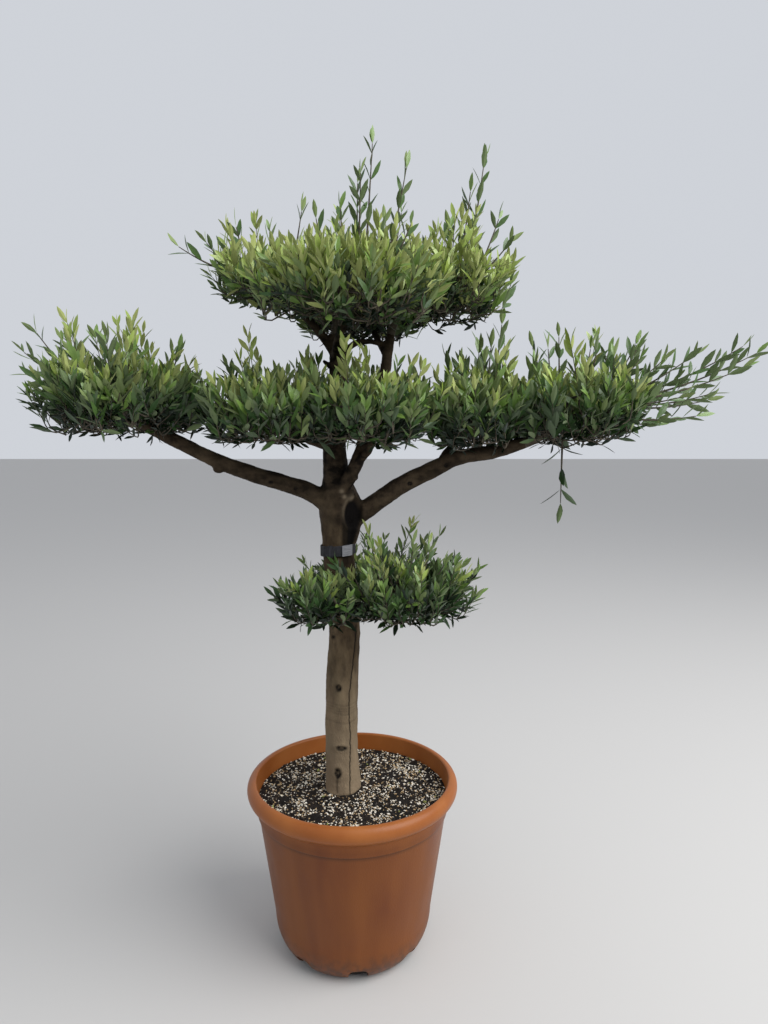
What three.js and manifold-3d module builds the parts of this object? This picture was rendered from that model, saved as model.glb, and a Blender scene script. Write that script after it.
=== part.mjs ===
// Potted olive tree, pruned into flat clouds of leaves on spreading boughs.
// Sizes are in millimetres. The origin is the middle of the pot's flat underside,
// +z is up and the tree is seen from -y, with +x to the right.

import * as THREE from 'three';
import { mergeVertices } from 'three/addons/utils/BufferGeometryUtils.js';
import Module from 'manifold-3d';

const wasm = await Module();
wasm.setup();

// Running gap between solids that touch
const GAP = 0.35;

// Pot
const POT_HEIGHT = 490;
const RIM_RADIUS = 300;
const RIM_ROLL = 20;
const RIM_DEPTH = 24;
const RIM_INNER_ROLL = 6;
const RIM_UNDERSIDE = -68;
const COLLAR_TOP = 436;
const COLLAR_FOOT = 398;
const COLLAR_RADIUS = 272;
const BODY_TOP_RADIUS = 268;
const BODY_FOOT_RADIUS = 226;
const FOOT_ROUND_HEIGHT = 105;
const FOOT_RADIUS = 167;
const POT_WALL = 5;
const POT_FLOOR = 7;
const POT_SIDES = 36;
const NOTCH_COUNT = 8;
const NOTCH_TURN = -39;
const NOTCH_WIDTH = 54;
const NOTCH_HEIGHT = 44;

// Soil
const SOIL_AT_WALL = 440;
const SOIL_AT_TRUNK = 450;
const SOIL_SEAT_RADIUS = 75;
const SOIL_LUMP = 4;
const SOIL_MOUND = 8;

// Height over the soil under which the trunk's first ring is cut flat
const FOOT_CUT = 12;

// Strap round the trunk and its bare plate
const STRAP_HEIGHT = 1149;
const STRAP_MIDDLE = -38;
const STRAP_WIDTH = 28;
const STRAP_RADIUS = 49;
const STRAP_SIDES = 16;
const PLATE_WIDTH = 32;
const PLATE_HEIGHT = 30;
const PLATE_THICK = 2;
const PLATE_FACET = 1.5;

// Limbs, each through points of x, y, z and radius, in the order in which they are fitted
const TRUNK = {
  name: 'trunk',
  sides: 18,
  steps: 16,
  points: [
    [-28, -9, SOIL_AT_TRUNK, 52],
    [-29, -9, 500, 48],
    [-31, -8, 592, 46],
    [-28, -5, 755, 46],
    [-20, -2, 940, 43.5],
    [-29, 0, 1060, 43],
    [-38, 0, 1149, 44],
    [-32, 0, 1200, 54],
    [-30, 0, 1256, 61],
    [-36, 2, 1304, 50],
    [-42, 4, 1345, 38],
  ],
};
const LEADER = {
  name: 'leader',
  sides: 11,
  steps: 9,
  points: [
    [-42, 4, 1330, 37],
    [-45, 5, 1428, 32],
    [-40, 8, 1540, 26],
    [-38, 10, 1600, 22.5],
    [-40, 12, 1735, 16],
  ],
};
const SECOND_STEM = {
  name: 'second_stem',
  sides: 9,
  steps: 8,
  points: [
    [-34, -24, 1300, 20],
    [10, -40, 1372, 19],
    [46, -16, 1470, 18],
    [85, 18, 1598, 16],
    [108, 26, 1735, 13],
  ],
};
const BOUGH_LEFT = {
  name: 'bough_left',
  sides: 11,
  steps: 9,
  points: [
    [-50, -3, 1262, 31],
    [-110, -8, 1304, 25],
    [-273, -30, 1359, 22],
    [-364, -45, 1395, 20],
    [-487, -65, 1459, 18],
    [-545, -74, 1490, 16],
  ],
};
const BOUGH_RIGHT = {
  name: 'bough_right',
  sides: 11,
  steps: 9,
  points: [
    [-16, 0, 1222, 33],
    [40, -1, 1257, 27],
    [134, -10, 1322, 25],
    [216, -15, 1364, 23],
    [291, -20, 1400, 21],
    [388, -25, 1416, 18],
    [470, -30, 1440, 16],
  ],
};

// Lobes of the trunk's flare, how fast they fade upwards, and lobes of all limbs
const FLARE_LOBE = 0.09;
const FLARE_FADE = 14;
const BARK_LOBE = 0.025;

// Short side boughs, from inside the limb that carries them to where their cloud starts
const SIDE_BOUGHS = [
  { name: 'bough_right_inner', from: [240, -14, 1376, 14], by: [262, 6, 1412, 12], to: [290, 30, 1442, 10] },
  { name: 'bough_top_left', from: [-40, 11, 1675, 13], by: [-90, 6, 1745, 12], to: [-160, 0, 1812, 10] },
  { name: 'bough_top_front', from: [-40, 10, 1668, 13], by: [-28, -70, 1712, 12], to: [0, -145, 1762, 10] },
  { name: 'bough_top_back', from: [101, 24, 1668, 11], by: [82, 90, 1712, 10], to: [55, 160, 1765, 9] },
  { name: 'bough_middle_left', from: [-44, 5, 1428, 16], by: [-110, -40, 1450, 14], to: [-170, -80, 1480, 11] },
  { name: 'bough_middle_right', from: [16, -40, 1384, 12], by: [48, -85, 1420, 11], to: [70, -125, 1462, 9] },
  { name: 'bough_middle_back', from: [-44, 6, 1436, 15], by: [-60, 75, 1460, 13], to: [-70, 130, 1490, 10] },
  { name: 'bough_low_left', from: [-24, 0, 1000, 13], by: [-75, -45, 1015, 11], to: [-105, -75, 1030, 9] },
  { name: 'bough_low_right', from: [-22, 0, 1010, 14], by: [55, -45, 1025, 12], to: [110, -65, 1040, 9] },
  { name: 'bough_low_back', from: [-22, 0, 1020, 13], by: [10, 70, 1035, 11], to: [45, 115, 1050, 9] },
];

// Clouds: middle and half sizes of the space, the limb whose tip carries it, how many shoots fill it,
// which way they lean, and the tips of its long shoots
const CLOUDS = [
  { name: 'cloud_top_middle', limb: 'leader', centre: [10, 0, 1880],
    half: [175, 150, 76, 145], shoots: 6, lean: [0, 0],
    tips: [[66, 20, 2275], [170, -30, 2193], [20, 60, 2185]] },
  { name: 'cloud_top_left', limb: 'bough_top_left', centre: [-212, 0, 1872],
    half: [152, 215, 54, 60], shoots: 7, lean: [-0.15, 0],
    tips: [[-487, -60, 1961], [-434, 60, 2006], [-322, -40, 2041], [-112, 30, 2100]] },
  { name: 'cloud_top_right', limb: 'second_stem', centre: [245, 0, 1862],
    half: [172, 215, 66, 110], shoots: 8, lean: [0.12, 0],
    tips: [[370, 0, 2229], [265, -60, 2035], [460, -40, 1985], [352, 60, 2050]] },
  { name: 'cloud_top_front', limb: 'bough_top_front', centre: [5, -220, 1830],
    half: [240, 165, 70, 118], shoots: 9, lean: [0, -0.12], tips: [[-20, -160, 2050], [120, -250, 1990]] },
  { name: 'cloud_top_back', limb: 'bough_top_back', centre: [30, 230, 1850],
    half: [225, 170, 78, 115], shoots: 7, lean: [0, 0.12], tips: [[-90, 250, 2085], [160, 200, 2150]] },
  { name: 'cloud_middle_left', limb: 'bough_middle_left', centre: [-190, -100, 1522],
    half: [190, 200, 80, 90], shoots: 9, lean: [-0.1, -0.1], tips: [[-350, -80, 1668]] },
  { name: 'cloud_middle_right', limb: 'bough_middle_right', centre: [48, -155, 1518],
    half: [172, 185, 80, 88], shoots: 8, lean: [0.1, -0.1], tips: [[150, -120, 1672]] },
  { name: 'cloud_middle_back', limb: 'bough_middle_back', centre: [-70, 170, 1535],
    half: [215, 140, 90, 95], shoots: 7, lean: [0, 0.1], tips: [[-160, 190, 1680]] },
  { name: 'cloud_left', limb: 'bough_left', centre: [-560, -90, 1556],
    half: [222, 235, 88, 104], shoots: 11, lean: [-0.2, 0],
    tips: [[-895, -60, 1694], [-855, -60, 1752], [-655, -100, 1722], [-520, -60, 1712], [-400, -110, 1700],
      [-735, -140, 1470]] },
  { name: 'cloud_right_inner', limb: 'bough_right_inner', centre: [345, 0, 1522],
    half: [170, 225, 96, 108], shoots: 8, lean: [0.05, 0], tips: [[410, -60, 1795], [290, 60, 1700]] },
  { name: 'cloud_right_outer', limb: 'bough_right', centre: [575, -20, 1530],
    half: [195, 225, 90, 100], shoots: 10, lean: [0.25, 0],
    tips: [[550, -30, 1768], [690, 0, 1752], [790, -60, 1715], [893, 40, 1668], [1114, -60, 1688],
      [1030, 30, 1560], [563, -60, 1231]] },
  { name: 'cloud_low_left', limb: 'bough_low_left', centre: [-66, -125, 1044],
    half: [126, 155, 52, 72], shoots: 6, lean: [-0.1, -0.1], tips: [] },
  { name: 'cloud_low_right', limb: 'bough_low_right', centre: [135, -110, 1052],
    half: [195, 175, 72, 78], shoots: 8, lean: [0.1, -0.1], tips: [[340, -70, 1120], [180, -60, 1215]] },
  { name: 'cloud_low_back', limb: 'bough_low_back', centre: [60, 140, 1050],
    half: [215, 125, 46, 66], shoots: 6, lean: [0.1, 0.1], tips: [[290, 90, 1190]] },
];

// Core of a cloud: its size as a share of the space, its lumps, and the steps that pull it in
const CORE_SHARE = 0.76;
const CORE_LUMP = 0.1;
const CORE_STEP = 0.03;
const CORE_LEAST = 0.1;

// Shoots that fill a cloud: lowest direction, turn from one to the next, start and end as shares
// of the space, sag, and radius at both ends
const LOWEST_SHOOT = -0.45;
const GOLDEN_ANGLE = Math.PI * (3 - Math.sqrt(5));
const TURN_SCATTER = 0.6;
const SHOOT_START = 0.45;
const SHOOT_END = 0.8;
const SHOOT_END_SCATTER = 0.12;
const SHOOT_SAG = 0.22;
const SHOOT_RADIUS = 4.5;
const SHOOT_TIP_RADIUS = 2.2;

// Long shoots: where they start in the space, their sag, and the room for the last leaves at the tip
const LONG_START = 0.5;
const LONG_RISE = 0.3;
const LONG_SAG = 0.1;
const END_LEAF = 48;

// Leaves: size, angle to their twig, and places along it
const LEAF_LENGTH = 90;
const LEAF_WIDTH = 26;
const LEAF_THICK = 3.6;
const LEAF_WIDEST = 0.45;
const LEAF_TURN_SCATTER = 0.5;
const PAIR = { spread: 0.85, size: 1, at: 0.7 };
const LAST_LEAF = { spread: 0.25, size: 0.95, at: 0.95 };
const LONG_PAIR = { spread: 0.6, size: 0.78, first: 0.28, last: 0.9, apart: 140 };
const LONG_LAST_PAIR = { spread: 0.35, size: 0.62, at: 0.97 };

// Space that a cloud keeps to
const SPACE_EDGE = 1.75;
const OTHER_SPACE_EDGE = 1.85;
const FLATNESS = 1.7;
const CELL_MARGIN = 2;
const LIMB_MARGIN = 5;
const LIMB_PLACES = 24;

// Stem of a cloud, from inside its limb's tip
const STEM_ROOT = 0.97;
const STEM_SHARE = 0.8;
const STEM_TAPER = 0.3;

// Clean-up of fused faces
const SMALLEST_EDGE = 0.02;
const FACE_TOLERANCE = 0.4;

// Colours, roughness and metalness
const PLASTIC = new THREE.MeshStandardMaterial({ color: 0xb4582f, roughness: 0.5, metalness: 0 });
const PEAT = new THREE.MeshStandardMaterial({ color: 0x2e2621, roughness: 0.95, metalness: 0 });
const TRUNK_BARK = new THREE.MeshStandardMaterial({ color: 0x7d7260, roughness: 0.9, metalness: 0 });
const BOUGH_BARK = new THREE.MeshStandardMaterial({ color: 0x4f453d, roughness: 0.9, metalness: 0 });
const BAND = new THREE.MeshStandardMaterial({ color: 0x1b1b1d, roughness: 0.7, metalness: 0 });
const PLATE = new THREE.MeshStandardMaterial({ color: 0x8b8b90, roughness: 0.5, metalness: 0 });
const FOLIAGE = new THREE.MeshStandardMaterial({ color: 0x41552f, roughness: 0.6, metalness: 0 });

// Seeded numbers from 0 to 1
function seeded(seed) {
  let state = seed >>> 0;
  return () => {
    state = (state + 0x6d2b79f5) >>> 0;
    let mixed = Math.imul(state ^ (state >>> 15), state | 1);
    mixed ^= mixed + Math.imul(mixed ^ (mixed >>> 7), mixed | 61);
    return ((mixed ^ (mixed >>> 14)) >>> 0) / 4294967296;
  };
}

// Solids and geometries
function solidOf(geometry) {
  const plain = geometry.clone();
  plain.deleteAttribute('normal');
  plain.deleteAttribute('uv');
  const merged = mergeVertices(plain, 1e-4);
  const corners = merged.index.array;
  const kept = [];
  for (let i = 0; i < corners.length; i += 3) {
    const [a, b, c] = [corners[i], corners[i + 1], corners[i + 2]];
    if (a !== b && b !== c && a !== c) {
      kept.push(a, b, c);
    }
  }
  const vertProperties = new Float32Array(merged.attributes.position.array);
  return new wasm.Manifold(new wasm.Mesh({ numProp: 3, vertProperties, triVerts: new Uint32Array(kept) }));
}

function geometryOf(solid) {
  const mesh = solid.getMesh();
  const geometry = new THREE.BufferGeometry();
  geometry.setAttribute('position', new THREE.BufferAttribute(new Float32Array(mesh.vertProperties), 3));
  geometry.setIndex(new THREE.BufferAttribute(new Uint32Array(mesh.triVerts), 1));
  geometry.computeVertexNormals();
  return geometry;
}

function largestBody(solid) {
  return solid.decompose().reduce((best, body) => (body.volume() > best.volume() ? body : best));
}

// Tube bent along a curve, with a radius for each share of its length
function tubeGeometry(curve, radiusAt, sides, steps, swell = 0) {
  const geometry = new THREE.CylinderGeometry(1, 1, 1, sides, steps);
  const place = geometry.attributes.position;
  const chord = curve.getPoint(1).sub(curve.getPoint(0)).normalize();
  const reference = Math.abs(chord.y) < 0.6 ? new THREE.Vector3(0, 1, 0) : new THREE.Vector3(1, 0, 0);
  const point = new THREE.Vector3();
  for (let i = 0; i < place.count; i += 1) {
    point.fromBufferAttribute(place, i);
    const share = Math.round((point.y + 0.5) * steps) / steps;
    const tangent = curve.getTangent(share);
    const side = new THREE.Vector3().crossVectors(reference, tangent).normalize();
    const other = new THREE.Vector3().crossVectors(side, tangent);
    const angle = Math.atan2(point.z, point.x);
    const radius = Math.hypot(point.x, point.z) * (radiusAt(share, angle) + swell);
    const middle = curve.getPoint(share);
    if (share === 0) {
      middle.addScaledVector(tangent, -swell);
    }
    if (share === 1) {
      middle.addScaledVector(tangent, swell);
    }
    middle.addScaledVector(side, radius * Math.cos(angle)).addScaledVector(other, radius * Math.sin(angle));
    place.setXYZ(i, middle.x, middle.y, middle.z);
  }
  return geometry;
}

// Limbs
function bark(share, angle, foot) {
  const flare = foot ? FLARE_LOBE * Math.exp(-share * FLARE_FADE) * Math.cos(5 * angle + 1) : 0;
  return 1 + flare + BARK_LOBE * Math.cos(3 * angle + 9 * share);
}

function limbOf({ name, sides, steps, points }) {
  const curve = new THREE.CatmullRomCurve3(points.map(([x, y, z]) => new THREE.Vector3(x, y, z)));
  const radii = new THREE.CatmullRomCurve3(points.map(([, , , radius]) => new THREE.Vector3(radius, 0, 0)));
  const foot = name === TRUNK.name;
  const radiusAt = (share, angle = 0) => radii.getPoint(share).x * bark(share, angle, foot);
  return { name, curve, radiusAt, sides, steps, foot };
}

function limbGeometry(limb, swell = 0) {
  const geometry = tubeGeometry(limb.curve, limb.radiusAt, limb.sides, limb.steps, swell);
  if (limb.foot) {
    const place = geometry.attributes.position;
    for (let i = 0; i < place.count; i += 1) {
      if (place.getZ(i) < SOIL_AT_TRUNK + FOOT_CUT) {
        place.setZ(i, SOIL_AT_TRUNK - swell);
      }
    }
  }
  return geometry;
}

const sideBoughs = SIDE_BOUGHS.map(({ name, from, by, to }) => {
  return { name, sides: 8, steps: 4, points: [from, by, to] };
});
const limbs = [TRUNK, LEADER, SECOND_STEM, BOUGH_LEFT, BOUGH_RIGHT, ...sideBoughs].map(limbOf);
const grownLimbs = limbs.map((limb) => solidOf(limbGeometry(limb, GAP)));

function fittedLimb(index) {
  let solid = solidOf(limbGeometry(limbs[index]));
  for (let earlier = 0; earlier < index; earlier += 1) {
    solid = solid.subtract(grownLimbs[earlier]);
  }
  return geometryOf(largestBody(solid).simplify(SMALLEST_EDGE));
}

// Places along every limb, for keeping leaves clear of them
const limbPlaces = limbs.flatMap((limb) => Array.from({ length: LIMB_PLACES + 1 }, (unused, i) => (
  { point: limb.curve.getPoint(i / LIMB_PLACES), radius: limb.radiusAt(i / LIMB_PLACES) }
)));

function clearOfLimbs(point) {
  return limbPlaces.every((place) => place.point.distanceTo(point) > place.radius + LIMB_MARGIN);
}

// The space of a cloud: its own cell among the clouds, and its own rounded shape
function cellDistance(cloud, point) {
  const [x, y, z] = cloud.centre;
  return (point.x - x) ** 2 + (point.y - y) ** 2 + (FLATNESS * (point.z - z)) ** 2;
}

function inCell(cloud, point) {
  const own = cellDistance(cloud, point);
  return CLOUDS.every((other) => {
    if (other === cloud) {
      return true;
    }
    const apart = Math.sqrt(cellDistance(other, new THREE.Vector3(...cloud.centre)));
    return cellDistance(other, point) - own > 2 * CELL_MARGIN * apart;
  });
}

function roundness(cloud, point) {
  const [halfX, halfY, up, down] = cloud.half;
  const rise = point.z - cloud.centre[2];
  const [x, y] = [point.x - cloud.centre[0], point.y - cloud.centre[1]];
  return Math.hypot(x / halfX, y / halfY, rise / (rise > 0 ? up : down));
}

function outsideOthers(cloud, point) {
  return CLOUDS.every((other) => other === cloud || roundness(other, point) > OTHER_SPACE_EDGE);
}

function inRound(cloud, direction, share) {
  const [halfX, halfY, up, down] = cloud.half;
  return new THREE.Vector3(
    cloud.centre[0] + share * halfX * direction.x,
    cloud.centre[1] + share * halfY * direction.y,
    cloud.centre[2] + share * (direction.z > 0 ? up : down) * direction.z,
  );
}

// Core of a cloud, pulled in wherever it would leave its cell
function coreSolid(cloud, random) {
  const geometry = new THREE.IcosahedronGeometry(1, 1);
  geometry.deleteAttribute('normal');
  geometry.deleteAttribute('uv');
  const core = mergeVertices(geometry, 1e-4);
  const place = core.attributes.position;
  const direction = new THREE.Vector3();
  for (let i = 0; i < place.count; i += 1) {
    direction.fromBufferAttribute(place, i);
    let share = CORE_SHARE * (1 - CORE_LUMP + 2 * CORE_LUMP * random());
    let point = inRound(cloud, direction, share);
    while (!inCell(cloud, point) && share > CORE_LEAST) {
      share -= CORE_STEP;
      point = inRound(cloud, direction, share);
    }
    place.setXYZ(i, point.x, point.y, point.z);
  }
  return solidOf(core);
}

// Shoots of a cloud: those that fill its space by the golden angle, and its long ones
function shootsOf(cloud, random) {
  const centre = new THREE.Vector3(...cloud.centre);
  const shoots = [];
  for (let i = 0; i < cloud.shoots; i += 1) {
    const height = LOWEST_SHOOT + ((1 - LOWEST_SHOOT) * (i + 0.5)) / cloud.shoots;
    const ring = Math.sqrt(1 - height * height);
    const turn = i * GOLDEN_ANGLE + TURN_SCATTER * random();
    const direction = new THREE.Vector3(ring * Math.cos(turn), ring * Math.sin(turn), height);
    const start = inRound(cloud, direction, SHOOT_START);
    const end = inRound(cloud, direction, SHOOT_END + SHOOT_END_SCATTER * random());
    end.x += cloud.lean[0] * cloud.half[2] * (1 + height);
    end.y += cloud.lean[1] * cloud.half[2] * (1 + height);
    const bend = start.clone().lerp(end, 0.5);
    bend.z -= SHOOT_SAG * start.distanceTo(end) * ring;
    shoots.push({ curve: new THREE.QuadraticBezierCurve3(start, bend, end), long: false });
  }
  for (const tip of cloud.tips) {
    const end = new THREE.Vector3(...tip);
    const away = end.clone().sub(centre);
    end.addScaledVector(away, -END_LEAF / away.length());
    const direction = new THREE.Vector3(away.x / cloud.half[0], away.y / cloud.half[1], 0);
    direction.setLength(Math.min(direction.length(), 1));
    direction.z = LONG_RISE * Math.sign(away.z);
    const start = inRound(cloud, direction, LONG_START);
    const bend = start.clone().lerp(end, 0.5);
    bend.z -= LONG_SAG * start.distanceTo(end) * Math.min(direction.length(), 1);
    shoots.push({ curve: new THREE.QuadraticBezierCurve3(start, bend, end), long: true });
  }
  return shoots;
}

// Leaf: a blade of six faces, flat below and ridged above, from its root along a direction
const BLADE = new THREE.BufferGeometry();
const BLADE_CORNERS = [[0, 0, 0], [LEAF_WIDEST, -1, 0], [1, 0, 0], [LEAF_WIDEST, 1, 0], [LEAF_WIDEST, 0, 1]];
BLADE.setAttribute('position', new THREE.Float32BufferAttribute(BLADE_CORNERS.flat(), 3));
BLADE.setIndex([0, 1, 4, 1, 2, 4, 2, 3, 4, 3, 0, 4, 0, 2, 1, 0, 3, 2]);

function leafGeometry(root, direction, facing, size) {
  const across = new THREE.Vector3().crossVectors(facing, direction).normalize();
  const up = new THREE.Vector3().crossVectors(direction, across);
  const place = new THREE.Matrix4().makeBasis(
    direction.clone().multiplyScalar(size * LEAF_LENGTH),
    across.multiplyScalar((size * LEAF_WIDTH) / 2),
    up.multiplyScalar(LEAF_THICK),
  );
  return BLADE.clone().applyMatrix4(place.setPosition(root));
}

// Leaf on a curve, turned round it by an angle and leaning away from it by its spread
function leafOn(curve, share, angle, { spread, size }) {
  const tangent = curve.getTangent(share);
  const side = new THREE.Vector3(-tangent.y, tangent.x, 0.01).normalize().applyAxisAngle(tangent, angle);
  const direction = tangent.clone().multiplyScalar(Math.cos(spread)).addScaledVector(side, Math.sin(spread));
  return leafGeometry(curve.getPoint(share), direction.normalize(), tangent, size);
}

function leavesOf(cloud, { curve, long }, random) {
  const leaves = [];
  const addPair = (share, angle, kind) => {
    leaves.push(leafOn(curve, share, angle, kind), leafOn(curve, share, angle + Math.PI, kind));
  };
  if (long) {
    const gaps = Math.max(1, Math.round(curve.getLength() / LONG_PAIR.apart) - 1);
    for (let i = 0; i <= gaps; i += 1) {
      const share = LONG_PAIR.first + ((LONG_PAIR.last - LONG_PAIR.first) * i) / gaps;
      addPair(share, (i * Math.PI) / 2 + LEAF_TURN_SCATTER * random(), LONG_PAIR);
    }
    addPair(LONG_LAST_PAIR.at, Math.PI * random(), LONG_LAST_PAIR);
  } else {
    addPair(PAIR.at, LEAF_TURN_SCATTER * random(), PAIR);
    leaves.push(leafOn(curve, LAST_LEAF.at, Math.PI * random(), LAST_LEAF));
  }
  return leaves.filter((leaf) => keepsItsPlace(cloud, leaf, long));
}

// True where every corner and the middle of a leaf is in its cloud's space and clear of the limbs
function keepsItsPlace(cloud, geometry, long) {
  const place = geometry.attributes.position;
  const middle = new THREE.Vector3();
  const corners = [];
  for (let i = 0; i < place.count; i += 1) {
    corners.push(new THREE.Vector3().fromBufferAttribute(place, i));
    middle.addScaledVector(corners[i], 1 / place.count);
  }
  const ownRound = (point) => inCell(cloud, point) && roundness(cloud, point) < SPACE_EDGE;
  const within = (point) => (long ? inCell(cloud, point) || outsideOthers(cloud, point) : ownRound(point));
  return corners.every(within) && [...corners, middle].every(clearOfLimbs);
}

function shootGeometry(cloud, shoot) {
  const radiusAt = (share) => SHOOT_RADIUS + (SHOOT_TIP_RADIUS - SHOOT_RADIUS) * share;
  return tubeGeometry(shoot.curve, radiusAt, 3, shoot.long ? 2 : 1);
}

// Cloud: stem, core, shoots and leaves fused into one solid and cut clear of the limbs
function cloudGeometry(cloud, seed) {
  const random = seeded(seed);
  const limb = limbs.find(({ name }) => name === cloud.limb);
  const tip = limb.curve.getPoint(1);
  const centre = new THREE.Vector3(...cloud.centre);
  const root = limb.curve.getPoint(STEM_ROOT);
  const bend = tip.clone().addScaledVector(limb.curve.getTangent(1), 0.5 * tip.distanceTo(centre));
  const stem = new THREE.QuadraticBezierCurve3(root, bend, centre);
  const stemRadius = STEM_SHARE * limb.radiusAt(1);
  const pieces = [
    solidOf(tubeGeometry(stem, (share) => stemRadius * (1 - STEM_TAPER * share), 6, 4)),
    coreSolid(cloud, random),
  ];
  for (const shoot of shootsOf(cloud, random)) {
    const leaves = leavesOf(cloud, shoot, random);
    const twig = shootGeometry(cloud, shoot);
    if (keepsItsPlace(cloud, twig, true)) {
      pieces.push(solidOf(twig), ...leaves.map(solidOf));
    }
  }
  let solid = wasm.Manifold.union(pieces).simplify(FACE_TOLERANCE);
  for (const grown of grownLimbs) {
    solid = solid.subtract(grown);
  }
  return geometryOf(largestBody(solid).simplify(SMALLEST_EDGE));
}

// Pot
function quarter(centreR, centreZ, radiusR, radiusZ, from, to, count) {
  return Array.from({ length: count + 1 }, (unused, i) => {
    const angle = THREE.MathUtils.degToRad(from + ((to - from) * i) / count);
    return new THREE.Vector2(centreR + radiusR * Math.cos(angle), centreZ + radiusZ * Math.sin(angle));
  });
}

function lathe(points, sides = POT_SIDES) {
  return new THREE.LatheGeometry(points, sides).rotateX(Math.PI / 2);
}

const rimMiddle = RIM_RADIUS - RIM_ROLL;
const lip = new THREE.Vector2(rimMiddle - RIM_INNER_ROLL, POT_HEIGHT - RIM_INNER_ROLL);
const footRound = BODY_FOOT_RADIUS - FOOT_RADIUS;
const innerWall = [
  ...quarter(FOOT_RADIUS, FOOT_ROUND_HEIGHT, footRound - POT_WALL, FOOT_ROUND_HEIGHT - POT_FLOOR, -90, 0, 4),
  new THREE.Vector2(BODY_TOP_RADIUS - POT_WALL, COLLAR_FOOT),
];
const outerWall = [
  ...quarter(FOOT_RADIUS, FOOT_ROUND_HEIGHT, footRound, FOOT_ROUND_HEIGHT, -90, 0, 4),
  new THREE.Vector2(BODY_TOP_RADIUS, COLLAR_FOOT),
  new THREE.Vector2(COLLAR_RADIUS, COLLAR_FOOT + 1),
  new THREE.Vector2(COLLAR_RADIUS, COLLAR_TOP),
];

function potGeometry() {
  const rim = quarter(rimMiddle, POT_HEIGHT - RIM_DEPTH, RIM_ROLL, RIM_DEPTH, RIM_UNDERSIDE, 90, 5);
  const innerRim = quarter(rimMiddle, lip.y, RIM_INNER_ROLL, RIM_INNER_ROLL, 135, 180, 1);
  const axis = new THREE.Vector2(0, 0);
  const axisInside = new THREE.Vector2(0, POT_FLOOR);
  const profile = [axis, ...outerWall, ...rim, ...innerRim, ...innerWall.toReversed(), axisInside];
  let solid = solidOf(lathe(profile));
  const middle = (FOOT_RADIUS + BODY_FOOT_RADIUS) / 2;
  for (let i = 0; i < NOTCH_COUNT; i += 1) {
    const notch = new THREE.BoxGeometry(NOTCH_WIDTH, footRound, 2 * NOTCH_HEIGHT);
    notch.translate(0, -middle, 0);
    notch.rotateZ(THREE.MathUtils.degToRad(NOTCH_TURN + (360 / NOTCH_COUNT) * i));
    solid = solid.subtract(solidOf(notch));
  }
  return geometryOf(solid);
}

// Soil, with a lumpy top and a flat seat under the trunk
function soilGeometry() {
  const wallTop = innerWall.at(-1);
  const rise = (SOIL_AT_WALL - wallTop.y) / (lip.y - wallTop.y);
  const topRadius = wallTop.x + (lip.x - wallTop.x) * rise - GAP;
  const side = innerWall.map((point) => {
    return new THREE.Vector2(point.x - GAP, point.y + (point.y < 2 * POT_FLOOR ? GAP : 0));
  });
  const top = [0.8, 0.5].map((share) => {
    return new THREE.Vector2(topRadius * share, SOIL_AT_WALL + SOIL_MOUND * (1 - share));
  });
  const profile = [
    new THREE.Vector2(0, POT_FLOOR + GAP),
    ...side,
    new THREE.Vector2(topRadius, SOIL_AT_WALL),
    ...top,
    new THREE.Vector2(SOIL_SEAT_RADIUS, SOIL_AT_TRUNK - GAP),
    new THREE.Vector2(0, SOIL_AT_TRUNK - GAP),
  ];
  const geometry = lathe(profile);
  const place = geometry.attributes.position;
  for (let i = 0; i < place.count; i += 1) {
    const [x, y, z] = [place.getX(i), place.getY(i), place.getZ(i)];
    const out = Math.hypot(x, y);
    if (z > SOIL_AT_WALL && out > SOIL_SEAT_RADIUS + 1) {
      place.setZ(i, z + SOIL_LUMP * Math.sin(x / 23 + 1) * Math.cos(y / 19));
    }
  }
  return geometryOf(solidOf(geometry));
}

// Strap: a band that follows the trunk, and a bare plate on its front
function strapGeometry() {
  const band = new THREE.CylinderGeometry(STRAP_RADIUS, STRAP_RADIUS, STRAP_WIDTH, STRAP_SIDES);
  band.rotateX(Math.PI / 2);
  band.translate(STRAP_MIDDLE, 0, STRAP_HEIGHT);
  return geometryOf(solidOf(band).subtract(grownLimbs[0]));
}

function plateMesh() {
  const plate = new THREE.Mesh(new THREE.BoxGeometry(PLATE_WIDTH, PLATE_THICK, PLATE_HEIGHT), PLATE);
  const turn = (PLATE_FACET * 2 * Math.PI) / STRAP_SIDES;
  const out = STRAP_RADIUS * Math.cos(Math.PI / STRAP_SIDES) + GAP + PLATE_THICK / 2;
  plate.position.set(STRAP_MIDDLE + out * Math.sin(turn), -out * Math.cos(turn), STRAP_HEIGHT);
  plate.rotation.z = turn;
  return plate;
}

// The whole tree
const tree = new THREE.Group();

function add(name, mesh) {
  mesh.name = name;
  tree.add(mesh);
}

add('pot', new THREE.Mesh(potGeometry(), PLASTIC));
add('soil', new THREE.Mesh(soilGeometry(), PEAT));
limbs.forEach(({ name }, index) => {
  add(name, new THREE.Mesh(fittedLimb(index), index === 0 ? TRUNK_BARK : BOUGH_BARK));
});
add('strap', new THREE.Mesh(strapGeometry(), BAND));
add('strap_plate', plateMesh());
CLOUDS.forEach((cloud, index) => {
  add(cloud.name, new THREE.Mesh(cloudGeometry(cloud, 11 + 7 * index), FOLIAGE));
});

export default tree;
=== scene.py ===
# Potted olive tree, pruned into flat clouds of leaves on spreading boughs.
# Everything is in metres, +z is up and the tree is seen from -y, with +x to the right.
# The origin is the middle of the pot's flat underside.

import math
from collections import namedtuple

import bmesh
import bpy
import numpy as np
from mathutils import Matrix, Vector, noise

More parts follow.
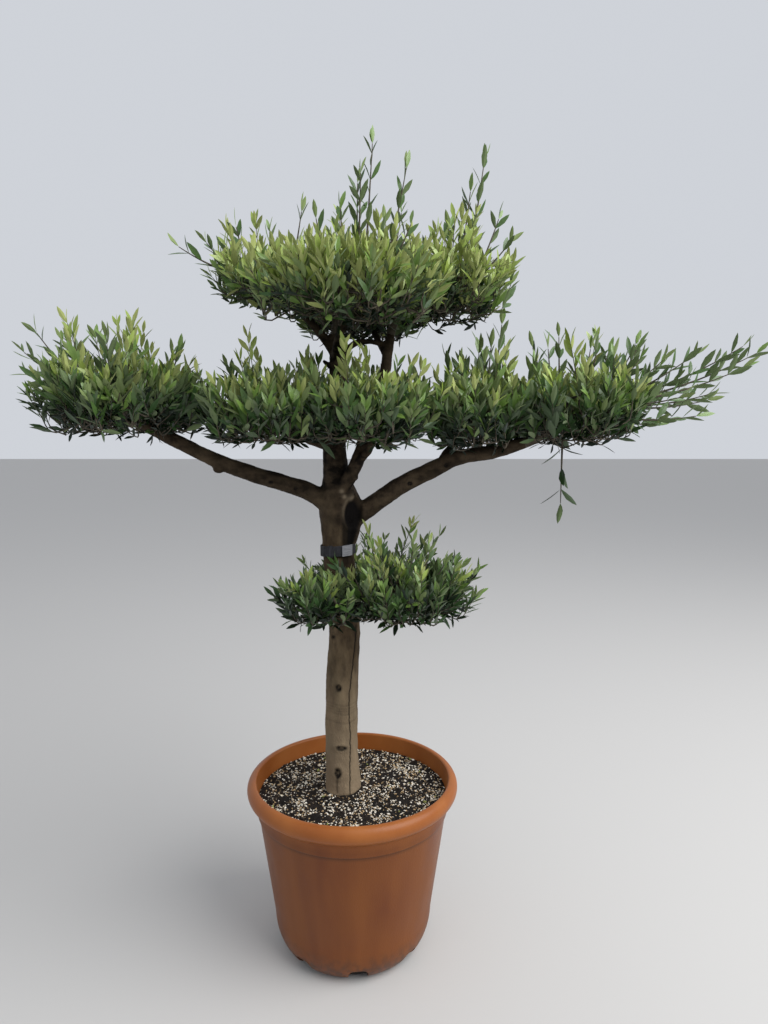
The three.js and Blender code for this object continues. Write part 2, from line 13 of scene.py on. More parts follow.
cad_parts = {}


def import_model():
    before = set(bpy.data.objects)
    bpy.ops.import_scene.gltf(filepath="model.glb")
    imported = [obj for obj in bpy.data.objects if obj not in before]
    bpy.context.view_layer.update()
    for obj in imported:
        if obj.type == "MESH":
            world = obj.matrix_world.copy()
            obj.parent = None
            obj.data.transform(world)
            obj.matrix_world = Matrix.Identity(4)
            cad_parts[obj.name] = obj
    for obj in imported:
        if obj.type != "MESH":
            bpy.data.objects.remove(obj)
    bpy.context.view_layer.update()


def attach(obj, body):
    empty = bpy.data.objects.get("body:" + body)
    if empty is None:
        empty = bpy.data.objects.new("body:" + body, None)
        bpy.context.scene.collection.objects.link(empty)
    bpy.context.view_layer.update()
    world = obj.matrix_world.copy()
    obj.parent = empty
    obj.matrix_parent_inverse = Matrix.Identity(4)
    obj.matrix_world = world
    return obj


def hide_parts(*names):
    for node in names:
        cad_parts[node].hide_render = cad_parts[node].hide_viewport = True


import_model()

# The pot is one moulding of terracotta-coloured polypropylene with a rolled rim over a collar.
# The wall tapers to a rounded foot, and eight low notches at the foot's edge let water out.

MM = 0.001
POT_HEIGHT = 490 * MM
RIM_RADIUS = 300 * MM
RIM_ROLL = 20 * MM
RIM_DEPTH = 24 * MM
RIM_INNER_ROLL = 6 * MM
COLLAR_TOP = 436 * MM
COLLAR_SHOULDER = 6 * MM
COLLAR_FOOT = 398 * MM
COLLAR_RADIUS = 272 * MM
COLLAR_STEP = 3 * MM
BODY_TOP_RADIUS = 268 * MM
BODY_FOOT_RADIUS = 226 * MM
FOOT_ROUND_HEIGHT = 105 * MM
FOOT_RADIUS = 167 * MM
POT_WALL = 5 * MM
POT_FLOOR = 7 * MM
POT_SIDES = 144
NOTCH_COUNT = 8
NOTCH_TURN = math.radians(-39)
NOTCH_WIDTH = 54 * MM
NOTCH_HEIGHT = 44 * MM
NOTCH_SQUARENESS = 0.5
UNSHADED_FROM, UNSHADED_ABOVE = 410 * MM, 450 * MM
STEP_SHADOW_DEPTH = 12 * MM
SPLASH_HEIGHT = 100 * MM


def linear(hex_colour):
    """An sRGB hex colour as linear red, green, blue and alpha."""
    shares = [int(hex_colour[i : i + 2], 16) / 255 for i in (1, 3, 5)]
    return [c / 12.92 if c < 0.04045 else ((c + 0.055) / 1.055) ** 2.4 for c in shares] + [1.0]


def add(tree, kind, inputs=None, **settings):
    """Adds a node with its settings, and fills or links its inputs."""
    made = tree.nodes.new(kind)
    for name, value in settings.items():
        setattr(made, name, value)
    for name, value in (inputs or {}).items():
        if isinstance(value, bpy.types.NodeSocket):
            tree.links.new(value, made.inputs[name])
        else:
            made.inputs[name].default_value = value
    return made


def finish_named(name, roughness, ior=1.5):
    """A new material with its tree, its shader, and its Object coordinates."""
    material = bpy.data.materials.new(name)
    material.use_nodes = True
    tree = material.node_tree
    shader = tree.nodes["Principled BSDF"]
    shader.inputs["Roughness"].default_value = roughness
    shader.inputs["IOR"].default_value = ior
    place = add(tree, "ShaderNodeTexCoord").outputs["Object"]
    return material, tree, shader, place


def pattern(tree, place, stretch, detail=4.0, low=0.35, high=0.65):
    """Noise at a stretch per metre along x, y and z, spread out to go from 0 to 1."""
    mapped = add(tree, "ShaderNodeMapping", {"Vector": place, "Scale": stretch}).outputs[0]
    grain = {"Vector": mapped, "Scale": 1.0, "Detail": detail}
    strength = add(tree, "ShaderNodeTexNoise", grain).outputs["Fac"]
    spread = {"Value": strength, "From Min": low, "From Max": high}
    return add(tree, "ShaderNodeMapRange", spread).outputs[0]


def mixed(tree, share, first, second):
    """A colour between two, each a hex string or an output, by a share."""
    one = linear(first) if isinstance(first, str) else first
    other = linear(second) if isinstance(second, str) else second
    made = add(tree, "ShaderNodeMix", {0: share, 6: one, 7: other}, data_type="RGBA")
    return made.outputs[2]


def relief(tree, shader, height, depth, distance=0.001):
    """A bump of a pattern on the shader's normal."""
    bump = add(tree, "ShaderNodeBump", {"Height": height, "Strength": depth, "Distance": distance})
    tree.links.new(bump.outputs[0], shader.inputs["Normal"])


def piece_of(name, vertices, faces, material=None, smooth=True):
    """A mesh object at the origin from arrays."""
    mesh = bpy.data.meshes.new(name)
    mesh.from_pydata(vertices, [], faces)
    mesh.update()
    if smooth:
        mesh.polygons.foreach_set("use_smooth", [True] * len(mesh.polygons))
    if material:
        mesh.materials.append(material)
    piece = bpy.data.objects.new(name, mesh)
    bpy.context.scene.collection.objects.link(piece)
    return piece


def plain(piece):
    """Applies the modifiers of a piece to its mesh."""
    graph = bpy.context.evaluated_depsgraph_get()
    mesh = bpy.data.meshes.new_from_object(piece.evaluated_get(graph))
    piece.modifiers.clear()
    piece.data = mesh
    mesh.name = piece.name
    return piece


def declare(piece, slot, *nodes):
    """The piece rides on the plant's one body and stands for CAD nodes, which it hides. The slot is not used.
    """
    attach(piece, "root")
    if nodes:
        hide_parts(*nodes)


def arc(centre_r, centre_z, radius_r, radius_z, start, end, count):
    """Points of an elliptic arc in the profile, with angles in degrees."""
    angles = np.radians(np.linspace(start, end, count + 1))
    return [(centre_r + radius_r * math.cos(a), centre_z + radius_z * math.sin(a)) for a in angles]


def lathe(name, profile, sides, material=None):
    """A closed body of revolution: the profile runs anticlockwise from the axis to the axis."""
    inner = profile[1:-1]
    vertices = [(0, 0, profile[0][1])]
    for r, z in inner:
        vertices += [(r * math.cos(a), r * math.sin(a), z) for a in np.arange(sides) * 2 * math.pi / sides]
    vertices.append((0, 0, profile[-1][1]))
    last = len(vertices) - 1
    faces = []
    for j in range(sides):
        k = (j + 1) % sides
        faces.append((0, 1 + k, 1 + j))
        for i in range(len(inner) - 1):
            low, high = 1 + i * sides, 1 + (i + 1) * sides
            faces.append((low + j, low + k, high + k, high + j))
        top = 1 + (len(inner) - 1) * sides
        faces.append((top + j, top + k, last))
    piece = piece_of(name, vertices, faces, material)
    piece.data.set_sharp_from_angle(angle=math.radians(40))
    return piece


def terracotta_polypropylene():
    """Satin plastic with faint vertical streaks down the wall and splashed earth near the foot. The wall
    below the collar is coloured darker than the rim as painted shade, with a band of painted shadow right
    under the collar's step.
    """
    material, tree, shader, place = finish_named("terracotta-coloured polypropylene", 0.42, 1.49)
    shader.inputs["Specular IOR Level"].default_value = 0.35
    height = add(tree, "ShaderNodeSeparateXYZ", {0: place}).outputs[2]
    clouding = pattern(tree, place, (9, 9, 6), 5)
    streaks = pattern(tree, place, (16, 16, 0.6), 2, 0.3, 0.7)
    wall = mixed(tree, streaks, "#673310", "#774118")
    faint = add(tree, "ShaderNodeMath", {0: clouding, 1: 0.35}, operation="MULTIPLY").outputs[0]
    wall = mixed(tree, faint, wall, "#824d1f")
    # Below the collar the wall keeps the darker colours and the rim takes the lighter ones: painted shade on
    # the body.
    rise = {"Value": height, "From Min": UNSHADED_FROM, "From Max": UNSHADED_ABOVE}
    unshaded_rim = add(tree, "ShaderNodeMapRange", rise).outputs[0]
    colour = mixed(tree, unshaded_rim, wall, mixed(tree, clouding, "#8f4f1e", "#9d5c27"))
    # The dust share below is painted shadow: a dark band just under the collar's step, darkest at the step.
    step_shadow_top = COLLAR_FOOT - MM
    rise = {"Value": height, "From Min": step_shadow_top - STEP_SHADOW_DEPTH, "From Max": step_shadow_top, "To Max": 0.55}
    dust = add(tree, "ShaderNodeMapRange", rise).outputs[0]
    limit = {0: height, 1: COLLAR_FOOT + 0.5 * MM}
    on_wall = add(tree, "ShaderNodeMath", limit, operation="LESS_THAN").outputs[0]
    dust = add(tree, "ShaderNodeMath", {0: dust, 1: on_wall}, operation="MULTIPLY").outputs[0]
    colour = mixed(tree, dust, colour, "#3d2410")
    rise = {"Value": height, "From Min": SPLASH_HEIGHT, "From Max": 0.0}
    low = add(tree, "ShaderNodeMapRange", rise).outputs[0]
    splashes = pattern(tree, place, (60, 60, 40), 6, 0.42, 0.62)
    dirt = add(tree, "ShaderNodeMath", {0: low, 1: splashes}, operation="MULTIPLY").outputs[0]
    colour = mixed(tree, dirt, colour, "#3d2c1f")
    tree.links.new(colour, shader.inputs["Base Color"])
    rough = add(tree, "ShaderNodeMapRange", {"Value": clouding, "To Min": 0.36, "To Max": 0.52}).outputs[0]
    tree.links.new(rough, shader.inputs["Roughness"])
    relief(tree, shader, pattern(tree, place, (300, 300, 160), 2), 0.12)
    return material


rim_middle = RIM_RADIUS - RIM_ROLL
foot_round = BODY_FOOT_RADIUS - FOOT_RADIUS
inner_round = (foot_round - POT_WALL, FOOT_ROUND_HEIGHT - POT_FLOOR)
inner_wall = arc(FOOT_RADIUS, FOOT_ROUND_HEIGHT, *inner_round, -90, 0, 10)
inner_wall.append((BODY_TOP_RADIUS - POT_WALL, COLLAR_FOOT))
pot_profile = [(0, 0), *arc(FOOT_RADIUS, FOOT_ROUND_HEIGHT, foot_round, FOOT_ROUND_HEIGHT, -90, 0, 16)]
for t in np.linspace(0, 1, 8)[1:]:
    radius = BODY_FOOT_RADIUS + (BODY_TOP_RADIUS - BODY_FOOT_RADIUS) * t
    pot_profile.append((radius, FOOT_ROUND_HEIGHT + (COLLAR_FOOT - FOOT_ROUND_HEIGHT) * t))
collar_edge = (COLLAR_RADIUS - COLLAR_STEP, COLLAR_FOOT + COLLAR_STEP)
pot_profile += arc(*collar_edge, COLLAR_STEP, COLLAR_STEP, -90, 0, 4)
pot_profile.append((COLLAR_RADIUS, COLLAR_TOP - COLLAR_SHOULDER))
pot_profile += arc(rim_middle, POT_HEIGHT - RIM_DEPTH, RIM_ROLL, RIM_DEPTH, -78, 90, 26)
pot_profile += arc(rim_middle, POT_HEIGHT - RIM_INNER_ROLL, RIM_INNER_ROLL, RIM_INNER_ROLL, 100, 180, 6)
pot_profile += [*reversed(inner_wall), (0, POT_FLOOR)]
pot = lathe("pot", pot_profile, POT_SIDES, terracotta_polypropylene())

arch = [(NOTCH_WIDTH / 2, -NOTCH_HEIGHT)]
for a in np.linspace(0.02, math.pi - 0.02, 15):
    across = math.copysign(abs(math.cos(a)) ** NOTCH_SQUARENESS, math.cos(a))
    arch.append((across * NOTCH_WIDTH / 2, math.sin(a) ** NOTCH_SQUARENESS * NOTCH_HEIGHT))
arch.append((-NOTCH_WIDTH / 2, -NOTCH_HEIGHT))
notch_middle = (FOOT_RADIUS + BODY_FOOT_RADIUS) / 2
notch_vertices, notch_faces = [], []
for i in range(NOTCH_COUNT):
    turn = NOTCH_TURN + i * 2 * math.pi / NOTCH_COUNT
    first, count = len(notch_vertices), len(arch)
    for out in (notch_middle - foot_round / 2, notch_middle + foot_round):
        for x, z in arch:
            level = (x * math.cos(turn) + out * math.sin(turn), x * math.sin(turn) - out * math.cos(turn))
            notch_vertices.append((*level, z))
    notch_faces.append([first + j for j in reversed(range(count))])
    notch_faces.append([first + count + j for j in range(count)])
    for j in range(count):
        k = (j + 1) % count
        notch_faces.append((first + j, first + k, first + count + k, first + count + j))
notches = piece_of("notches", notch_vertices, notch_faces)
cut = pot.modifiers.new("notches", "BOOLEAN")
cut.operation = "DIFFERENCE"
cut.solver = "EXACT"
cut.object = notches
plain(pot)
bpy.data.objects.remove(notches)
declare(pot, "pot_plastic", "pot")

# The soil is dark, moist peat that fills the pot to 50 mm under the top of the rim and rises a little
# round the trunk. White perlite, beige grit and crumbs of bark lie loose on it.

SOIL_AT_WALL = 440 * MM
SOIL_AT_TRUNK = 450 * MM
SOIL_SEAT_DEPTH = 8 * MM
SOIL_GAP = 0.35 * MM
SOIL_LUMP, LUMP_LENGTH, LUMP_WIDTH = 4 * MM, 23 * MM, 19 * MM
SOIL_CRUMB, CLODS_PER_METRE, CRUMBS_PER_METRE = 2.5 * MM, 70, 260
SOIL_HEAP, HEAP_REACH = 8 * MM, 14 * MM
CALM_RADIUS, CALM_BY_TRUNK, CALM_BY_WALL = 48 * MM, 22 * MM, 12 * MM
SOIL_SIDES = 200
SOIL_RINGS = 64
TRUNK_FOOT = (-28 * MM, -9 * MM, 0)
TRUNK_FOOT_RADIUS = 54 * MM


def moist_peat():
    """Dark fibrous peat: matt, with damp patches that are darker still."""
    material, tree, shader, place = finish_named("moist peat", 0.92, 1.35)
    colour = mixed(tree, pattern(tree, place, (160, 160, 160), 5), "#120e0b", "#2b221b")
    colour = mixed(tree, pattern(tree, place, (12, 12, 12), 3, 0.45, 0.7), colour, "#0d0a08")
    tree.links.new(colour, shader.inputs["Base Color"])
    relief(tree, shader, pattern(tree, place, (500, 500, 500), 4), 0.6, 0.002)
    return material


def grain_material(name, light, dark, roughness):
    """A mineral or bark grain: matt, and not all grains of quite the same colour."""
    material, tree, shader, place = finish_named(name, roughness, 1.5)
    colour = mixed(tree, pattern(tree, place, (90, 90, 90), 3), dark, light)
    tree.links.new(colour, shader.inputs["Base Color"])
    return material


def group_with(name, inputs):
    """A Geometry Nodes tree that takes a mesh and named values and gives a mesh, and what its inputs give."""
    tree = bpy.data.node_groups.new(name, "GeometryNodeTree")
    for socket, kind in {"Geometry": "Geometry", **inputs}.items():
        tree.interface.new_socket(socket, in_out="INPUT", socket_type="NodeSocket" + kind)
    tree.interface.new_socket("Geometry", in_out="OUTPUT", socket_type="NodeSocketGeometry")
    return tree, add(tree, "NodeGroupInput").outputs


def scatter_tree():
    """Geometry Nodes: grains of random size and turn, lying on the faces that look up."""
    sizes = {"Grains per square metre": "Float", "Smallest": "Float", "Largest": "Float"}
    tree, given = group_with("loose grains", {**sizes, "Seed": "Int", "Material": "Material"})
    facing = add(tree, "GeometryNodeInputNormal").outputs[0]
    upwards = add(tree, "ShaderNodeSeparateXYZ", {0: facing}).outputs[2]
    place = add(tree, "GeometryNodeInputPosition").outputs[0]
    foot = add(tree, "ShaderNodeVectorMath", {0: place, 1: TRUNK_FOOT}, operation="SUBTRACT").outputs[0]
    flat = add(tree, "ShaderNodeVectorMath", {0: foot, 1: (1, 1, 0)}, operation="MULTIPLY").outputs[0]
    out = add(tree, "ShaderNodeVectorMath", {0: flat}, operation="LENGTH").outputs["Value"]
    over = {"data_type": "FLOAT", "operation": "GREATER_THAN"}
    off_trunk = add(tree, "FunctionNodeCompare", {0: out, 1: TRUNK_FOOT_RADIUS}, **over).outputs[0]
    on_top = add(tree, "FunctionNodeCompare", {0: upwards, 1: 0.5}, **over).outputs[0]
    both = add(tree, "FunctionNodeBooleanMath", {0: off_trunk, 1: on_top}, operation="AND").outputs[0]
    clouding = add(tree, "ShaderNodeTexNoise", {"Vector": place, "Scale": 26.0, "Detail": 3.0}).outputs[0]
    drift = {"Value": clouding, "From Min": 0.38, "From Max": 0.62, "To Min": 0.15, "To Max": 1.5}
    patches = add(tree, "ShaderNodeMapRange", drift).outputs[0]
    thickly = {0: patches, 1: given["Grains per square metre"]}
    density = add(tree, "ShaderNodeMath", thickly, operation="MULTIPLY").outputs[0]
    spread = {"Mesh": given["Geometry"], "Selection": both, "Density": density, "Seed": given["Seed"]}
    points = add(tree, "GeometryNodeDistributePointsOnFaces", spread).outputs[0]
    ball = add(tree, "GeometryNodeMeshIcoSphere", {"Radius": 0.5, "Subdivisions": 1}).outputs[0]
    reach = {2: given["Smallest"], 3: given["Largest"], "Seed": given["Seed"]}
    size = add(tree, "FunctionNodeRandomValue", reach).outputs[1]
    reach = {0: (0.6, 0.45, 0.3), 1: (1.6, 1.0, 0.8)}
    shape = add(tree, "FunctionNodeRandomValue", reach, data_type="FLOAT_VECTOR").outputs[0]
    scale = add(tree, "ShaderNodeVectorMath", {0: shape, "Scale": size}, operation="SCALE").outputs[0]
    reach = {0: (-0.5, -0.5, 0), 1: (0.5, 0.5, 6.28)}
    turn = add(tree, "FunctionNodeRandomValue", reach, data_type="FLOAT_VECTOR").outputs[0]
    lying = {"Points": points, "Instance": ball, "Rotation": turn, "Scale": scale}
    grains = add(tree, "GeometryNodeInstanceOnPoints", lying).outputs[0]
    real = add(tree, "GeometryNodeRealizeInstances", {0: grains}).outputs[0]
    finished = add(tree, "GeometryNodeSetMaterial", {"Geometry": real, "Material": given["Material"]})
    add(tree, "NodeGroupOutput", {0: finished.outputs[0]})
    return tree


def made_by(name, tree, start, values):
    """A piece that a Geometry Nodes tree makes from a start mesh, as a plain mesh."""
    piece = bpy.data.objects.new(name, start)
    bpy.context.scene.collection.objects.link(piece)
    modifier = piece.modifiers.new(name, "NODES")
    modifier.node_group = tree
    for item in tree.interface.items_tree:
        if item.in_out == "INPUT" and item.name in values:
            modifier[item.identifier] = values[item.name]
    return plain(piece)


wall_radii = (inner_wall[-1][0], rim_middle - RIM_INNER_ROLL)
wall_heights = (inner_wall[-1][1], POT_HEIGHT - RIM_INNER_ROLL)
soil_heights = (SOIL_AT_WALL - SOIL_SEAT_DEPTH, SOIL_AT_WALL)
seat_radius, soil_top_radius = np.interp(soil_heights, wall_heights, wall_radii) - SOIL_GAP
soil_profile = [(0, POT_FLOOR + SOIL_GAP)]
soil_profile += [(r - SOIL_GAP, z + (SOIL_GAP if z < 2 * POT_FLOOR else 0)) for r, z in inner_wall]
soil_profile.append((seat_radius, soil_heights[0]))
for t in np.linspace(1, 0, SOIL_RINGS)[:-1]:
    mound = (SOIL_AT_TRUNK - SOIL_AT_WALL) * (1 - t) ** 1.5
    soil_profile.append((soil_top_radius * t, SOIL_AT_WALL + mound))
soil_profile.append((0, SOIL_AT_TRUNK - SOIL_GAP))
soil = lathe("soil", soil_profile, SOIL_SIDES, moist_peat())
for vertex in soil.data.vertices:
    x, y, z = vertex.co
    out = math.hypot(x, y)
    if z >= SOIL_AT_WALL - 1e-6 and out < soil_top_radius - 1e-4:
        wave = SOIL_LUMP * math.sin(x / LUMP_LENGTH + 1) * math.cos(y / LUMP_WIDTH)
        clods = noise.fractal(Vector((x, y, 3)) * CLODS_PER_METRE, 0.8, 2.2, 4) * 2 * SOIL_CRUMB
        crumbs = noise.noise(Vector((x, y, 9)) * CRUMBS_PER_METRE) * SOIL_CRUMB
        from_trunk = math.dist((x, y), TRUNK_FOOT[:2])
        near_trunk = min(max((from_trunk - CALM_RADIUS) / CALM_BY_TRUNK, 0.3), 1)
        near_wall = min((soil_top_radius - out) / CALM_BY_WALL, 1)
        heap = SOIL_HEAP * math.exp(-(((from_trunk - TRUNK_FOOT_RADIUS) / HEAP_REACH) ** 2))
        vertex.co.z += (wave + clods + crumbs) * near_trunk * near_wall + heap
soil.data.update()
declare(soil, "potting_soil", "soil")

grains_tree = scatter_tree()
for name, material, density, smallest, largest, seed in (
    ("perlite", grain_material("expanded perlite", "#f6f0e3", "#bfb29a", 0.9), 12500, 2.2, 8.5, 4),
    ("grit", grain_material("beige grit", "#c9ae84", "#7d6445", 0.85), 9500, 2.0, 8.0, 7),
    ("bark_crumbs", grain_material("composted bark", "#35281e", "#120d0a", 0.95), 5000, 3.0, 12.0, 10),
    ("leaf_scraps", grain_material("fallen leaf scraps", "#8d9443", "#6b6a35", 0.7), 110, 6.0, 12.0, 13),
):
    sizes = {"Grains per square metre": float(density), "Smallest": smallest * MM, "Largest": largest * MM}
    grains = made_by(name, grains_tree, soil.data.copy(), {**sizes, "Seed": seed, "Material": material})
    declare(grains, "potting_soil")

# The trunk and its boughs are one living piece of wood under smooth grey bark. It is straight and round
# up to a swelling under the fork, where a limb was sawn off long ago and the wound is rimmed with callus.

# Points along the middle of each limb, with its radius there, in millimetres
TRUNK = [
    (-28, -9, 450, 52), (-29, -9, 500, 48), (-31, -8, 592, 46), (-28, -5, 755, 46), (-20, -2, 940, 43.5),
    (-29, 0, 1060, 43), (-38, 0, 1149, 44), (-32, 0, 1200, 54), (-30, 0, 1256, 61), (-36, 2, 1304, 50),
    (-42, 4, 1345, 38),
]
LEADER = [
    (-42, 4, 1330, 37), (-45, 5, 1428, 32), (-40, 8, 1540, 26), (-38, 10, 1600, 22.5), (-40, 12, 1735, 16),
]
SECOND_STEM = [
    (-34, -24, 1300, 20), (10, -40, 1372, 19), (46, -16, 1470, 18), (85, 18, 1598, 16), (108, 26, 1735, 13),
]
BOUGH_LEFT = [
    (-50, -3, 1262, 31), (-110, -8, 1304, 25), (-273, -30, 1359, 22), (-364, -45, 1395, 20),
    (-487, -65, 1459, 18), (-545, -74, 1490, 16),
]
BOUGH_RIGHT = [
    (-16, 0, 1222, 33), (40, -1, 1257, 27), (134, -10, 1322, 25), (216, -15, 1364, 23), (291, -20, 1400, 21),
    (388, -25, 1416, 18), (470, -30, 1440, 16),
]
LIMBS = {
    "trunk": TRUNK,
    "leader": LEADER,
    "second_stem": SECOND_STEM,
    "bough_left": BOUGH_LEFT,
    "bough_right": BOUGH_RIGHT,
    "bough_right_inner": [(240, -14, 1376, 14), (262, 6, 1412, 12), (290, 30, 1442, 10)],
    "bough_top_left": [(-40, 11, 1675, 13), (-90, 6, 1745, 12), (-160, 0, 1812, 10)],
    "bough_top_front": [(-40, 10, 1668, 13), (-28, -70, 1712, 12), (0, -145, 1762, 10)],
    "bough_top_back": [(101, 24, 1668, 11), (82, 90, 1712, 10), (55, 160, 1765, 9)],
    "bough_middle_left": [(-44, 5, 1428, 16), (-110, -40, 1450, 14), (-170, -80, 1480, 11)],
    "bough_middle_right": [(16, -40, 1384, 12), (48, -85, 1420, 11), (70, -125, 1462, 9)],
    "bough_middle_back": [(-44, 6, 1436, 15), (-60, 75, 1460, 13), (-70, 130, 1490, 10)],
    "bough_low_left": [(-24, 0, 1000, 13), (-75, -45, 1015, 11), (-105, -75, 1030, 9)],
    "bough_low_right": [(-22, 0, 1010, 14), (55, -45, 1025, 12), (110, -65, 1040, 9)],
    "bough_low_back": [(-22, 0, 1020, 13), (10, 70, 1035, 11), (45, 115, 1050, 9)],
}
# A thin branch arches from the leader to the second stem, and two short stubs are old pruning cuts
SMALL_WOOD = {
    "arch": [
        (-38, 10, 1655, 11), (-12, 14, 1690, 9), (14, 15, 1710, 8.5), (52, 18, 1714, 8), (88, 22, 1708, 8),
        (106, 26, 1715, 8),
    ],
    "cut_stub": [(-6, -34, 1334, 13), (4, -50, 1345, 12), (14, -62, 1354, 11.5)],
    "knuckle": [(-352, -44, 1388, 18), (-354, -48, 1374, 15), (-356, -52, 1361, 11)],
    "leader_snag": [(-58, 0, 1648, 9), (-66, -8, 1653, 7), (-73, -14, 1660, 5)],
}
LIMB_RING = 28
LIMB_STEP = 7 * MM
VOXEL = 3.6 * MM
SMOOTHINGS = 5
FLARE_LOBE = 0.03
FLARE_FADE = 14
BARK_LOBE = 0.025


def through(points, count):
    """A centripetal Catmull-Rom curve through points, the last column of which may be a radius."""
    points = np.array(points, float)
    padded = np.vstack([2 * points[0] - points[1], points, 2 * points[-1] - points[-2]])
    found = []
    for share in np.linspace(0, 1, count):
        at = share * (len(points) - 1)
        i = min(int(at), len(points) - 2)
        t = at - i
        a, b, c, d = padded[i : i + 4]
        ab, bc, cd = (math.sqrt(np.linalg.norm((q - p)[:3])) for p, q in ((a, b), (b, c), (c, d)))
        leave = ((b - a) / ab - (c - a) / (ab + bc) + (c - b) / bc) * bc
        arrive = ((c - b) / bc - (d - b) / (bc + cd) + (d - c) / cd) * bc
        cubic = 2 * (b - c) + leave + arrive
        found.append(b + leave * t + (3 * (c - b) - 2 * leave - arrive) * t**2 + cubic * t**3)
    return np.array(found)


def tangents(line):
    """The direction of a line at each of its points."""
    along = np.gradient(line, axis=0)
    return along / np.linalg.norm(along, axis=1)[:, None]


def crossways(line):
    """Two directions across a line at each of its points."""
    along = tangents(line)
    chord = line[-1] - line[0]
    level = abs(chord[1]) < 0.6 * np.linalg.norm(chord)
    reference = np.array([0.0, 1.0, 0.0]) if level else np.array([1.0, 0.0, 0.0])
    side = np.cross(reference, along)
    side /= np.linalg.norm(side, axis=1)[:, None]
    return side, np.cross(side, along)


def tube(line, radii, ring, lobes=None):
    """Vertices and faces of a closed tube along a line, with rounded ends."""
    side, other = crossways(line)
    angles = np.arange(ring) * 2 * math.pi / ring
    vertices = []
    for i, middle in enumerate(line):
        swell = lobes(i / (len(line) - 1), angles) if lobes else np.ones(ring)
        radius = (radii[i] * swell)[:, None]
        outward = np.cos(angles)[:, None] * side[i] + np.sin(angles)[:, None] * other[i]
        vertices.append(middle + radius * outward)
    vertices = np.vstack([*vertices, line[:1], line[-1:]])
    faces = []
    for j in range(ring):
        k = (j + 1) % ring
        for i in range(len(line) - 1):
            faces.append((i * ring + j, (i + 1) * ring + j, (i + 1) * ring + k, i * ring + k))
        faces.append((len(line) * ring, j, k))
        faces.append((len(line) * ring + 1, (len(line) - 1) * ring + k, (len(line) - 1) * ring + j))
    return vertices, faces


def trunk_lobes(share, angles):
    """How a trunk's section swells round it: faint lobes all the way up, and root flare at the foot."""
    flare = FLARE_LOBE * math.exp(-share * FLARE_FADE) * np.cos(5 * angles + 1)
    return 1 + flare + BARK_LOBE * np.cos(3 * angles + 9 * share)


def limb_lobes(share, angles):
    """How a limb's section swells round it."""
    return 1 + BARK_LOBE * np.cos(3 * angles + 9 * share)


limb_lines, limb_radii = {}, {}
wood_vertices, wood_faces = [], []
for name, points in {**LIMBS, **SMALL_WOOD}.items():
    length = sum(math.dist(p[:3], q[:3]) for p, q in zip(points, points[1:], strict=False)) * MM
    curve = through(points, max(int(length / LIMB_STEP), 6)) * MM
    limb_lines[name], limb_radii[name] = curve[:, :3], curve[:, 3]
    lobes = trunk_lobes if name == "trunk" else limb_lobes
    vertices, faces = tube(curve[:, :3], curve[:, 3], LIMB_RING, lobes)
    first = sum(len(v) for v in wood_vertices)
    wood_vertices.append(vertices)
    wood_faces += [tuple(first + i for i in face) for face in faces]
wood = piece_of("trunk_and_boughs", np.vstack(wood_vertices).tolist(), wood_faces)
remesh = wood.modifiers.new("grown together", "REMESH")
remesh.mode = "VOXEL"
remesh.voxel_size = VOXEL
plain(wood)


def coordinates(mesh):
    """The places of a mesh's vertices."""
    found = np.zeros(len(mesh.vertices) * 3)
    mesh.vertices.foreach_get("co", found)
    return found.reshape(-1, 3)


def smoothed(mesh, places, rounds):
    """The places moved towards the mean of their neighbours."""
    edges = np.zeros(len(mesh.edges) * 2, int)
    mesh.edges.foreach_get("vertices", edges)
    a, b = edges.reshape(-1, 2).T
    degree = np.bincount(np.concatenate([a, b]), minlength=len(places))[:, None]
    for _ in range(rounds):
        total = np.zeros_like(places)
        np.add.at(total, a, places[b])
        np.add.at(total, b, places[a])
        places = 0.5 * places + 0.5 * total / degree
    return places


# Bark features, in millimetres. Those on the front lie along x and z as they do in the picture.
FRONT_EDGE, FRONT_FADE = -20, 5
STREAK_DEPTH, LUMP_DEPTH, ROUGH_DEPTH = 0.7, 1.6, 0.45
STREAKS_ROUND, STREAKS_ALONG, LUMPS, SPECKS = 90, 9, 26, 150  # per metre
WOUND = (7, 1250)
WOUND_HALF = (22, 38)
WOUND_DEPTH, WOUND_RIM = 9, 4
CALLUS = [(-24, 1311), (-17, 1296), (2, 1288)]
CALLUS_HEIGHT, CALLUS_REACH = 3, 5.5
GROOVE = [(4, 1222), (2, 1185), (-2, 1150)]
GROOVE_DEPTH, GROOVE_REACH = 5, 8
# Under the wound the right of the trunk is darkened: partly a stain run down from the wound, partly painted
# shade on that side.
STAIN_SHADE_EDGE, STAIN_SHADE_EDGE_FADE = -24, 1.2
STAIN_SHADE_TOP, STAIN_SHADE_FOOT, STAIN_SHADE_FADE = 1245, 1100, 8
CRACK = [(12, 940), (11, 904), (6, 851), (-2, 783), (-8, 710), (-5, 626), (-6, 540), (-6, 463)]
CRACK_DEPTH, CRACK_REACH = 2, 2.3
CRACK_SPREAD, CRACK_WAVER = 40, 0.9
CRACK_CORE, CRACK_EDGE = 0.8, 2.2
CRACK_TOP_FADE = 30
